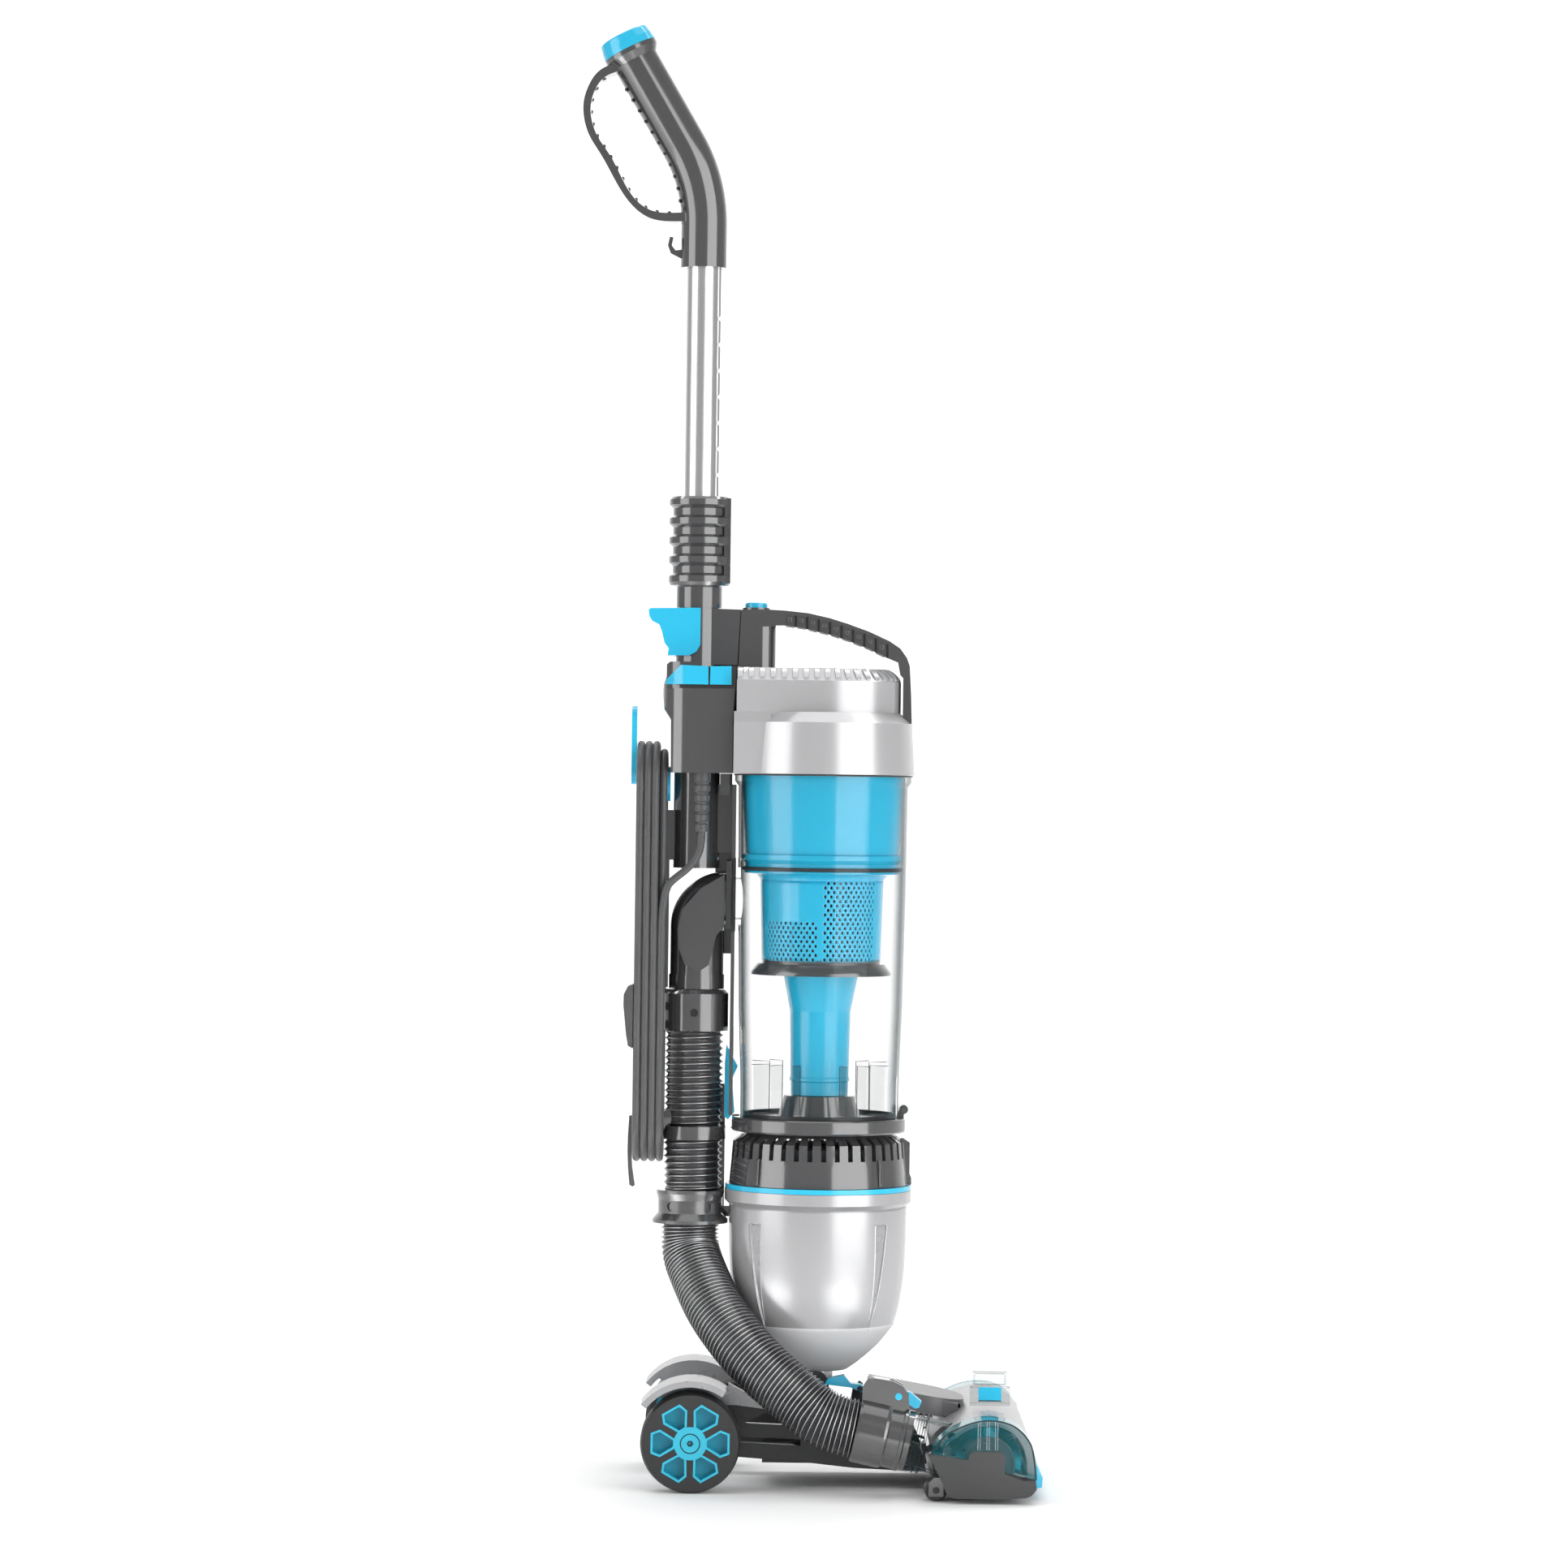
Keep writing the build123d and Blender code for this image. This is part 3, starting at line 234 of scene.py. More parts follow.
# Mains cord: the lead from the strain relief, then twelve turns over the two hooks
LEAD_ROUTE = [(-92, -27, 493.8), (-92, -27.6, 483), (-96, -29, 473), (-103, -30.4, 465),
              (-111.5, -31.4, 458.6), (-118.4, -31.8, 452)]
HANK_TOP_Z = 528.0
HANK_LOW_Z = 276.0
HANK_LAYER_R = (31.95, 26.05, 20.15)
HANK_COLUMN_X = (-121.5, -127.35, -133.2, -139.05)
ARC_SWELL = 1.03


def hank_points():
    """Control points of the hank: down the near side, round the lower hook, up the far side."""
    turns = []
    for layer, r in enumerate(HANK_LAYER_R):
        columns = HANK_COLUMN_X if layer % 2 == 0 else HANK_COLUMN_X[::-1]
        turns += [(x, r) for x in columns]
    points = []
    for index, (x, r) in enumerate(turns):
        next_x, next_r = turns[min(index + 1, len(turns) - 1)]
        points += [(x, -r, HANK_TOP_Z), (x, -r, HANK_LOW_Z)]
        for step in range(1, 6):
            angle = math.radians(180 + 30 * step)
            swell = r * ARC_SWELL
            points.append((x, swell * math.cos(angle), HANK_LOW_Z + swell * math.sin(angle)))
        points += [(x, r, HANK_LOW_Z), (next_x, next_r, HANK_TOP_Z)]
        for step in range(1, 6):
            angle = math.radians(30 * step)
            swell = next_r * ARC_SWELL
            points.append((next_x, swell * math.cos(angle), HANK_TOP_Z + swell * math.sin(angle)))
    return points


cord_points = LEAD_ROUTE[:-1] + [(-118.4, -31.6, 452), (-121.5, -31.95, 430)]
hank = hank_points()
hank[0] = (-121.5, -31.95, 400)
cord = smooth_line("mains_cord", cord_points + hank)
cord.data.bevel_depth = CORD_D / 2 * MM
cord.data.bevel_resolution = 3
cord.data.use_fill_caps = True
cord.data.materials.append(MATERIALS["cord_rubber"])
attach(cord, "body")
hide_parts("cord_lead", "cord_hank")


def spline_points(curve):
    """Points of a curve object's own line, in metres."""
    mesh = bpy.data.meshes.new_from_object(curve)
    points = [v.co.copy() for v in mesh.vertices]
    bpy.data.meshes.remove(mesh)
    return points


def even_points(points, step):
    """Points a fixed distance apart along a line of points."""
    result = [points[0].copy()]
    left = step
    for here, after in zip(points, points[1:]):
        run = after - here
        length = run.length
        place = left
        while place <= length:
            result.append(here + run * (place / length))
            place += step
        left = place - length
    return result


def line_frames(points):
    """Side and up directions carried along a line of points without twist."""
    frames = []
    ahead = (points[1] - points[0]).normalized()
    side = ahead.orthogonal().normalized()
    for index in range(len(points)):
        before = points[max(index - 1, 0)]
        after = points[min(index + 1, len(points) - 1)]
        ahead = (after - before).normalized()
        side = (side - ahead * side.dot(ahead)).normalized()
        frames.append((side, ahead.cross(side), ahead))
    return frames


def ring_faces(rings, around, closed_ends=False):
    """Faces between rings of points that follow one another, with end caps if asked."""
    faces = []
    for i in range(rings - 1):
        for j in range(around):
            k = (j + 1) % around
            faces.append((i * around + j, i * around + k, (i + 1) * around + k,
                          (i + 1) * around + j))
    if closed_ends:
        faces.append(tuple(range(around))[::-1])
        faces.append(tuple(range((rings - 1) * around, rings * around)))
    return faces


def metre_piece(name, verts, faces, slot, smooth=True, finish=None):
    """Mesh object from points already in metres, not yet riding a body."""
    mesh = bpy.data.meshes.new(name)
    mesh.from_pydata(verts, [], faces)
    mesh.validate()
    mesh.materials.append(finish or MATERIALS[slot])
    if smooth:
        mesh.shade_smooth()
    obj = bpy.data.objects.new(name, mesh)
    bpy.context.collection.objects.link(obj)
    return obj


# Corrugated hoses: a ribbed sleeve with a bright wire wound along its crests
WIRE_R = 0.42
SLEEVE_SIDES = 40
WIRE_SIDES = 6
STEPS_PER_TURN = 24
RINGS_PER_TURN = 6


def ribbed_hose(name, line, pitch, depth):
    """Sleeve and wire objects along a line of points in metres."""
    crest = HOSE_R - 2 * WIRE_R
    points = even_points(line, pitch * MM / RINGS_PER_TURN)
    frames = line_frames(points)
    verts = []
    for index, (centre, (side, up, _)) in enumerate(zip(points, frames)):
        for corner in range(SLEEVE_SIDES):
            angle = 2 * math.pi * corner / SLEEVE_SIDES
            phase = 2 * math.pi * (index / RINGS_PER_TURN - corner / SLEEVE_SIDES)
            r = (crest - depth * (0.5 - 0.5 * math.cos(phase))) * MM
            verts.append(centre + (side * math.cos(angle) + up * math.sin(angle)) * r)
    sleeve = metre_piece(name, verts, ring_faces(len(points), SLEEVE_SIDES), "smoke_hose")
    turns_line = even_points(line, pitch * MM / STEPS_PER_TURN)
    turn_frames = line_frames(turns_line)
    verts = []
    for index, (centre, (side, up, ahead)) in enumerate(zip(turns_line, turn_frames)):
        angle = 2 * math.pi * index / STEPS_PER_TURN
        out = side * math.cos(angle) + up * math.sin(angle)
        middle = centre + out * (HOSE_R - WIRE_R) * MM
        for corner in range(WIRE_SIDES):
            turn = 2 * math.pi * corner / WIRE_SIDES
            verts.append(middle + (out * math.cos(turn) + ahead * math.sin(turn)) * WIRE_R * MM)
    wire = metre_piece(name + "_wire", verts, ring_faces(len(turns_line), WIRE_SIDES, True),
                       "steel_tube", finish=WIRE)
    return sleeve, wire


straight_line = [at(HOSE_X, 0, 341.6), at(HOSE_X, 0, 300), at(HOSE_X, 0, 221.2)]
straight_hose, straight_wire = ribbed_hose("upper_hose", straight_line, 5.0, 1.6)
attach(straight_hose, "body")
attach(straight_wire, "body")
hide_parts("hose_straight")

HOSE_ROUTE = [(-97.5, 0, 195.2), (-97.5, 0, 184.5), (-96.2, -4, 171), (-90, -16, 156.5),
              (-77.5, -40, 132.5), (-57, -62, 108), (-38, -74, 90), (-17, -83, 74),
              (6, -90, 55), (29.4, -90, 50.02)]
route_curve = smooth_line("hose_route", HOSE_ROUTE)
flex_line = spline_points(route_curve)
bpy.data.objects.remove(route_curve)
flex_hose, flex_wire = ribbed_hose("lower_hose", flex_line, 3.4, 1.5)
# The bend starts part way up, so that the reclined hose arches clear of the wheel
for obj in (flex_hose, flex_wire):
    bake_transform(obj)
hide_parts("hose_flex")


# Shapes turned about an upright axis
def lathe(name, profile, slot, body, x=0.0, y=0.0, around=96, replaced=()):
    """Closed turned piece; profile is (radius, height) points in order round the section."""
    verts = []
    for r, z in profile:
        for corner in range(around):
            angle = 2 * math.pi * corner / around
            verts.append((x + r * math.cos(angle), y + r * math.sin(angle), z))
    faces = ring_faces(len(profile), around)
    last = (len(profile) - 1) * around
    for j in range(around):
        k = (j + 1) % around
        faces.append((last + j, last + k, k, j))
    return piece(name, verts, faces, slot, body, smooth=False, replaced=replaced)


def soften(obj, angle=35):
    """Smooth shading that keeps edges sharper than the angle."""
    obj.data.shade_smooth()
    obj.data.set_sharp_from_angle(angle=math.radians(angle))
    return obj


# Shroud of the cyclone: perforated cyan drum over a dark skirt
DRUM_LOW_Z = 396.6
DRUM_ROW = 3.41
DRUM_ROWS = 18
DRUM_CELLS = 64
HOLE_R = 1.25
PATCHES = [(2, 57, 0, 18), (-64, -4, 0, 9), (182, 237, 0, 18), (116, 176, 0, 9)]


def drum_radius(z):
    """Radius of the slightly conical drum at a height."""
    return 45.4 + (z - 394.8) * (47 - 45.4) / (453.5 - 394.8)


def in_patch(angle_deg, row):
    """Whether a cell is perforated; PATCHES are (from, to) in degrees and (first, end) rows."""
    for low, high, first, last in PATCHES:
        if low <= (angle_deg + 90) % 360 <= high and first <= row < last:
            return True
        if low <= (angle_deg + 90) % 360 - 360 <= high and first <= row < last:
            return True
    return False


def perforated_drum():
    """Grid of cells round the drum, staggered by row, with a round hole in each cell of a patch."""
    verts, faces, known = [], [], {}

    def corner(u, z):
        key = (round(u * 2) % (2 * DRUM_CELLS), round(z * 100))
        if key not in known:
            angle = 2 * math.pi * u / DRUM_CELLS
            r = drum_radius(z)
            known[key] = len(verts)
            verts.append((r * math.cos(angle), r * math.sin(angle), z))
        return known[key]

    for row in range(DRUM_ROWS):
        shift = 0.5 * (row % 2)
        low = DRUM_LOW_Z + DRUM_ROW * row
        high = low + DRUM_ROW
        for cell in range(DRUM_CELLS):
            u = cell + shift
            frame_ring = [corner(u, low), corner(u + 0.5, low), corner(u + 1, low),
                          corner(u + 1, high), corner(u + 0.5, high), corner(u, high)]
            middle_deg = 360 * (u + 0.5) / DRUM_CELLS
            if not in_patch(middle_deg, row):
                faces.append(tuple(frame_ring))
                continue
            middle_z = (low + high) / 2
            r = drum_radius(middle_z)
            hole = []
            for step in (225, 270, 315, 45, 90, 135):
                turn = math.radians(step)
                angle = math.radians(middle_deg) + HOLE_R * math.cos(turn) / r
                hole.append(len(verts))
                verts.append((r * math.cos(angle), r * math.sin(angle),
                              middle_z + HOLE_R * math.sin(turn)))
            for i in range(6):
                k = (i + 1) % 6
                faces.append((frame_ring[i], frame_ring[k], hole[k], hole[i]))
    obj = piece("shroud_drum", verts, faces, "cyan_plastic", "bin", replaced=("shroud",))
    thick = obj.modifiers.new("wall", "SOLIDIFY")
    thick.thickness = 1.1 * MM
    thick.offset = -1


perforated_drum()
TOP_Z = DRUM_LOW_Z + DRUM_ROW * DRUM_ROWS
soften(lathe("shroud_crown", [(drum_radius(TOP_Z), TOP_Z - 0.2), (48, 459.5), (50, 461.8),
                              (59.4, 463.2), (59.4, 464.8), (44, 464.8),
                              (45.6, TOP_Z - 0.2)], "cyan_plastic", "bin"))
soften(lathe("shroud_skirt", [(45.5, 397.4), (45.3, 394.6), (48.6, 394.4), (53.4, 388.2),
                              (53.6, 385.8), (31, 385.8), (31, 387.6), (48, 388.4),
                              (43.6, 393), (43.6, 397.4)], "dark_plastic", "bin"))
soften(lathe("shroud_core", [(38, 388.5), (40.5, 463), (39.5, 463), (37, 388.5)],
             "dark_plastic", "bin", around=64))

# Rubber seals and beads round the bin
soften(lathe("cone_seal", [(60.6, 464.9), (62.0, 465.4), (62.0, 467.2), (60.6, 467.8),
                           (58.6, 467.2), (58.6, 465.2)], "tyre_rubber", "bin"))
soften(lathe("bin_top_seal", [(64.4, 537.2), (68.2, 537.2), (68.6, 538.2), (64.4, 538.4)],
             "tyre_rubber", "bin"))
soften(lathe("door_seal", [(56.4, 277.2), (58.3, 277.2), (58.3, 279.6), (57.4, 280.2),
                           (56.4, 279.6)], "tyre_rubber", "door"))


# Brush: spiral rows of bristle tufts on a dark roller
BRUSH_X = 128.5
BRUSH_Z = 29.0


def brush():
    """Four rows of tufts, and the roller that replaces the plain brush bar."""
    verts, faces = [], []

    def spike(y, angle, lean, reach, thick):
        root_r, tip_r = 14.5, reach
        base = len(verts)
        for r, half in ((root_r, thick), (tip_r, thick * 0.55)):
            turn = angle + lean * (r - root_r) / (tip_r - root_r)
            side = Vector((-math.sin(turn), 0, math.cos(turn)))
            out = Vector((math.cos(turn), 0, math.sin(turn)))
            middle = Vector((BRUSH_X, y, BRUSH_Z)) + out * r
            for a, b in ((-1, -1), (1, -1), (1, 1), (-1, 1)):
                verts.append(middle + side * half * a + Vector((0, half * b, 0)))
        for i in range(4):
            k = (i + 1) % 4
            faces.append((base + i, base + k, base + 4 + k, base + 4 + i))
        faces.append((base + 7, base + 6, base + 5, base + 4))

    for row in range(4):
        for step in range(-27, 28):
            y = 4.0 * step
            if 31 < y < 43:
                continue
            angle = math.radians(90 * row + 0.9 * y)
            for _ in range(9):
                spike(y + RNG.uniform(-1.5, 1.5), angle + RNG.uniform(-0.1, 0.1),
                      RNG.uniform(-0.13, 0.13), RNG.uniform(24.0, 25.1), 0.32)
    piece("brush_bristles", verts, faces, "cyan_plastic", "brush", smooth=False, finish=BRISTLE)
    profile = [(0.1, -118.5), (6, -118.5), (6, -113), (13.4, -112.4), (14.6, -111.5), (14.6, 31.6),
               (12, 32.6), (12, 41.4), (14.6, 42.4), (14.6, 111.5), (13.4, 112.4), (6, 113),
               (6, 118.5), (0.1, 118.5)]
    around = 48
    ring = [(BRUSH_X + r * math.cos(2 * math.pi * j / around), y,
             BRUSH_Z + r * math.sin(2 * math.pi * j / around))
            for r, y in profile for j in range(around)]
    core = piece("brush_core", ring, ring_faces(len(profile), around, True), "black_frame",
                 "brush", smooth=False, replaced=("brush_bar",))
    soften(core)


brush()


# Small moulded details
def prism(outline, y_low, y_high):
    """Vertices and faces of a side outline, (x, z), made solid from one Y to another."""
    count = len(outline)
    verts = [(x, y, z) for y in (y_low, y_high) for x, z in outline]
    faces = [tuple(range(count)), tuple(range(2 * count - 1, count - 1, -1))]
    for i in range(count):
        k = (i + 1) % count
        faces.append((i, count + i, count + k, k))
    return verts, faces


def turned_solid(verts, faces, degrees, x=0.0, y=0.0):
    """The same faces with the vertices turned about an upright axis."""
    a = math.radians(degrees)
    moved = [((px - x) * math.cos(a) - (py - y) * math.sin(a) + x,
              (px - x) * math.sin(a) + (py - y) * math.cos(a) + y, pz) for px, py, pz in verts]
    return moved, faces


def gather(solids):
    """Several solids' vertices and faces as one."""
    verts, faces = [], []
    for part_verts, part_faces in solids:
        start = len(verts)
        verts += part_verts
        faces += [tuple(start + i for i in face) for face in part_faces]
    return verts, faces


def rounded(obj, width=0.35, segments=2):
    """Bevelled edges, in millimetres, with smooth shading."""
    bevel = obj.modifiers.new("edge", "BEVEL")
    bevel.width = width * MM
    bevel.segments = segments
    bevel.limit_method = "ANGLE"
    bevel.angle_limit = math.radians(40)
    return soften(obj, 40)


# Lid grille: ribs that stand in the chamfer round the lid's top edge
LID_FRONT = 58.5
LID_HALF = 46.0
LID_RIB_GAP = 8.3


def lid_edge():
    """Points with inward directions along the lid's edge, from rear left round the front."""
    line = []
    for side in (-1, 1):
        step = 0
        while 64 - step * LID_RIB_GAP > 2:
            line.append((Vector((-(64 - step * LID_RIB_GAP), side * LID_HALF)),
                         Vector((0, -side))))
            step += 1
    angle = -88.0
    while angle < 88:
        a = math.radians(angle)
        line.append((Vector((LID_FRONT * math.cos(a), LID_HALF * math.sin(a))),
                     -Vector((math.cos(a) / LID_FRONT, math.sin(a) / LID_HALF)).normalized()))
        speed = math.hypot(LID_FRONT * math.sin(a), LID_HALF * math.cos(a))
        angle += math.degrees(LID_RIB_GAP / speed)
    return line


LID_RIB = [(0.4, 610.1, 0.9), (0.6, 611.2, 1.8), (1.5, 612.6, 2.1), (3.2, 614.6, 2.1),
           (6.0, 617.1, 2.1), (9.2, 618.95, 2.1)]


def lid_rib(place, inward):
    """Round-ended rib over the lid's chamfer; LID_RIB is (inset, height, half width)."""
    along = Vector((-inward.y, inward.x))
    verts = []
    for inset, z, half in LID_RIB:
        for sign in (-1, 1):
            spot = place + inward * inset + along * half * sign
            verts.append((spot.x, spot.y, z))
    for inset, z, half in LID_RIB:
        for sign in (-1, 1):
            spot = place + inward * (inset + 1.2) + along * half * sign
            verts.append((spot.x, spot.y, 609.5 + inset - 0.4))
    count = 2 * len(LID_RIB)
    faces = []
    for i in range(0, count - 2, 2):
        faces.append((i, i + 1, i + 3, i + 2))
        faces.append((count + i, count + i + 2, count + i + 3, count + i + 1))
        faces.append((i, i + 2, count + i + 2, count + i))
        faces.append((i + 1, count + i + 1, count + i + 3, i + 3))
    faces.append((0, count, count + 1, 1))
    faces.append((count - 2, count - 1, 2 * count - 1, 2 * count - 2))
    return verts, faces


rounded(piece("lid_grille", *gather(lid_rib(*spot) for spot in lid_edge()), "silver_paint",
              "bin", smooth=False), 0.3)
rounded(piece("lid_boss", *prism([(-15, 618.9), (-13, 619.7), (9, 619.7), (11, 618.9)], -14, 14),
              "silver_paint", "bin", smooth=False), 0.5)

# Raised ribs on the motor's exhaust ring
ring_rib = prism([(64.6, 228), (69.4, 228), (69.0, 246), (67.6, 248), (64.6, 248)], -1.6, 1.6)
rounded(piece("exhaust_ribs", *gather(turned_solid(*ring_rib, turn)
                                      for turn in (-133, -47, 47, 133)),
              "dark_plastic", "body", smooth=False), 0.6)

# Grip beads inside the hand loop and along the handle's back
LOOP_INNER = [(-165.6, 1071.7), (-175.3, 1066.4), (-181.2, 1057.3), (-184, 1046.7),
              (-183.1, 1034.7), (-178.5, 1022.7), (-168.5, 1007.8), (-151.6, 978),
              (-144, 970.6), (-134.9, 966.2), (-122, 965.1)]
HANDLE_BACK = [(-162, 1067), (-125.3, 1007.7), (-120.3, 996.2), (-116.9, 985.1),
               (-114.9, 974)]


def bead(x, z, lean):
    """Low rounded bar across the handle."""
    outline = []
    for step in range(7):
        angle = math.radians(180 * step / 6) + lean
        outline.append((x + 1.5 * math.cos(angle), z + 1.5 * math.sin(angle)))
    return prism(outline, -8, 8)


def bead_row(points, gap, lean_side):
    """Beads a fixed gap apart along a side outline."""
    line = [Vector((x, 0, z)) for x, z in points]
    spots = even_points(line, gap)
    solids = []
    for before, here in zip(spots, spots[1:]):
        run = here - before
        solids.append(bead(here.x, here.z, math.atan2(run.z, run.x) + lean_side))
    return solids


BEAD_GAP = 9.5
beads = bead_row(LOOP_INNER, BEAD_GAP, 0) + bead_row(HANDLE_BACK, BEAD_GAP, math.pi)
rounded(piece("handle_beads", *gather(beads), "dark_plastic", "handle", smooth=False), 0.4)


# Painted shade in the hose cuff's hole: a black cap turned about a line along Y
def disc_y(name, x, z, y, r, depth, slot, body, dish=0.35, finish=None):
    """Low round cap with a dished middle, facing -Y."""
    around = 32
    profile = [(0.05, y + dish), (r * 0.72, y + dish), (r * 0.86, y), (r, y + 0.25),
               (r, y + depth), (0.05, y + depth)]
    verts = [(x + pr * math.cos(2 * math.pi * j / around), py,
              z + pr * math.sin(2 * math.pi * j / around))
             for pr, py in profile for j in range(around)]
    return soften(piece(name, verts, ring_faces(len(profile), around, True), slot, body,
                        smooth=False, finish=finish))


disc_y("cuff_hole_shade", -96, 356.3, -25.7, 3.1, 1.5, "tyre_rubber", "body", dish=0.1,
       finish=PAINTED_SHADE_BLACK)


def passing(points, per=6):
    """Smooth line of millimetre points that passes through every given point."""
    line = [Vector(p) for p in points]
    result = []
    for i in range(len(line) - 1):
        before = line[max(i - 1, 0)]
        after = line[min(i + 2, len(line) - 1)]
        for step in range(per):
            t = step / per
            pull = (line[i + 1] - before) * 0.5
            push = (after - line[i]) * 0.5
            result.append(line[i] * (2 * t ** 3 - 3 * t ** 2 + 1) + pull * (t ** 3 - 2 * t ** 2 + t)
                          + line[i + 1] * (3 * t ** 2 - 2 * t ** 3) + push * (t ** 3 - t ** 2))
    return result + [line[-1]]


def thread(points, r, sides=8):
    """Vertices and faces of a thin round bead along millimetre points."""
    verts = []
    for centre, (side, up, _) in zip(points, line_frames(points)):
        for j in range(sides):
            a = 2 * math.pi * j / sides
            verts.append(tuple(centre + (side * math.cos(a) + up * math.sin(a)) * r))
    return verts, ring_faces(len(points), sides, True)


# Painted skin of the motor bowl: a smooth turned surface with four sunk flutes. The cone under
# CONE_TOP has a lighter finish as painted light, and the flute floors a darker one as painted
# shade.
FLUTE_TURNS = ((-45, 1), (45, -1), (135, 1), (225, -1))
FLUTE_DEPTH = 1.3
FLUTE_FOOT_Z = 118.4
FLUTE_START_Z = 119.6
FLUTE_TOP_Z = 199
FLUTE_EDGE = [(3.6, FLUTE_FOOT_Z), (-6.4, 197.8), (-5.4, FLUTE_TOP_Z), (5.4, FLUTE_TOP_Z),
              (6.4, 197.8), (5, FLUTE_FOOT_Z)]
CONE_TOP = 121.5
BOWL_LOW = passing([(24, 85.4), (33.3, 92.2), (47.1, 104.6), (59.05, 119.6)], 5)
BOWL_SIDE = passing([(59.05, 119.6), (63.3, 136.2), (65.9, 153), (67.15, 171), (67.7, 190),
                     (67.8, 209.6)], 10)
BOWL_PROFILE = [(p.x, p.y) for p in BOWL_LOW + BOWL_SIDE[1:]]


def bowl_radius(z):
    for (r0, z0), (r1, z1) in zip(BOWL_PROFILE, BOWL_PROFILE[1:]):
        if z <= z1:
            return r0 + (r1 - r0) * (z - z0) / (z1 - z0)
    return BOWL_PROFILE[-1][0]


def flute_sink(u, z):
    """How far a flute sinks the surface at a sideways distance u from its middle."""
    if z < FLUTE_START_Z or z > FLUTE_TOP_Z:
        return 0.0
    left = 3.6 - 10 * (z - FLUTE_FOOT_Z) / 79.4
    right = 5 + 1.4 * (z - FLUTE_FOOT_Z) / 79.4
    inside = min(u - left, right - u, FLUTE_TOP_Z - z, (z - FLUTE_START_Z) * 0.5) - 0.3
    return FLUTE_DEPTH * min(max(inside / 0.7, 0.0), 1.0)


def bowl_skin():
    angles = []
    for turn, _ in FLUTE_TURNS:
        angles += [turn - 90 + 0.25 * k for k in range(-30, 31)]
    angles += [a for a in range(-180, 180, 3)
               if all(abs((a - turn + 90 + 180) % 360 - 180) > 8 for turn, _ in FLUTE_TURNS)]
    angles = sorted((a + 180) % 360 - 180 for a in angles)
    heights = sorted({round(p[1], 2) for p in BOWL_PROFILE} | {121 + 2.0 * k for k in range(38)}
                     | {197.3, 197.9, 198.2, 198.6, 199.0, 199.3})
    verts, sinks = [], []
    for z in heights:
        for angle in angles:
            sink = 0.0
            for turn, flip in FLUTE_TURNS:
                off = (angle - turn + 90 + 180) % 360 - 180
                if abs(off) < 8:
                    u = bowl_radius(z) * math.sin(math.radians(off)) * flip
                    sink = flute_sink(u, z)
            r = bowl_radius(z) - sink
            a = math.radians(angle)
            verts.append((r * math.cos(a), r * math.sin(a), z))
            sinks.append(sink)
    skin = piece("bowl_skin", verts, ring_faces(len(heights), len(angles)), "silver_paint", "body",
                 smooth=False, finish=SILVER_BOWL_PAINTED_SHADE)
    skin.data.materials.append(SILVER_PAINTED_SHADE)
    skin.data.materials.append(SILVER_PAINTED_LIGHT)
    # Flute floors take the painted shade finish, faces under CONE_TOP the painted light one
    for face in skin.data.polygons:
        if min(sinks[v] for v in face.vertices) > 0.6 * FLUTE_DEPTH:
            face.material_index = 1
        elif max(verts[v][2] for v in face.vertices) < CONE_TOP:
            face.material_index = 2
    wall = skin.modifiers.new("wall", "SOLIDIFY")
    wall.thickness = 0.15 * MM
    wall.offset = -1
    soften(skin, 30)


bowl_skin()


def flute_rim(turn, flip):
    """Thin bright bead that stands for the highlight along a flute's edge."""
    line = []
    for (x0, z0), (x1, z1) in zip(FLUTE_EDGE, FLUTE_EDGE[1:]):
        steps = 12 if abs(z1 - z0) > 20 else 3
        for step in range(steps):
            x = (x0 + (x1 - x0) * step / steps) * flip
            z = z0 + (z1 - z0) * step / steps
            line.append(Vector((x, -math.sqrt(bowl_radius(z) ** 2 - x * x), z)))
    verts, faces = thread(line, 0.33, 6)
    return turned_solid(verts, faces, turn)


soften(piece("flute_rims", *gather(flute_rim(*spot) for spot in FLUTE_TURNS), "steel_tube",
             "body"))

# Dark strips of painted shade that fill the gaps round the rear housing, and painted shade in the
# slots in the carry handle's sides
SHADED_GAPS = [([(-69.1, 538.7), (-68.5, 538.7), (-68.5, 585.4), (-66.6, 586), (-66.6, 619.4),
           (-67.15, 619.4), (-67.35, 609.4), (-69.3, 577.5)], 30),
         ([(-66.7, 621.2), (-65.95, 620.2), (-64.2, 663), (-64.6, 663)], 13),
         ([(-79, 619.5), (-66.4, 619.5), (-66.4, 621.3), (-79, 621.3)], 13),
         ([(-71.4, 529.6), (-69.6, 529.6), (-69.6, 538.2), (-71.4, 538.2)], 16)]
# Dark strips in the housing gaps: painted shade
rounded(piece("housing_seam_shade", *gather(prism(line, -half, half) for line, half in SHADED_GAPS),
              "tyre_rubber", "body", smooth=False), 0.15, 1)
HANDLE_TOP = [(-31.6, 663), (-13.1, 661.2), (3.4, 657.6), (17.9, 653.2), (33.4, 647.7),
              (48.9, 640.7)]
HANDLE_UNDER = [(-31.4, 651.5), (-17, 649.6), (3.6, 644.9), (18.1, 640.3), (33.6, 634.3),
                (44.9, 628.8), (55.6, 624.4)]


def height_on(line, x):
    """Height of a side outline at x."""
    for (x0, z0), (x1, z1) in zip(line, line[1:]):
        if x <= x1:
            return z0 + (z1 - z0) * (x - x0) / (x1 - x0)
    return line[-1][1]


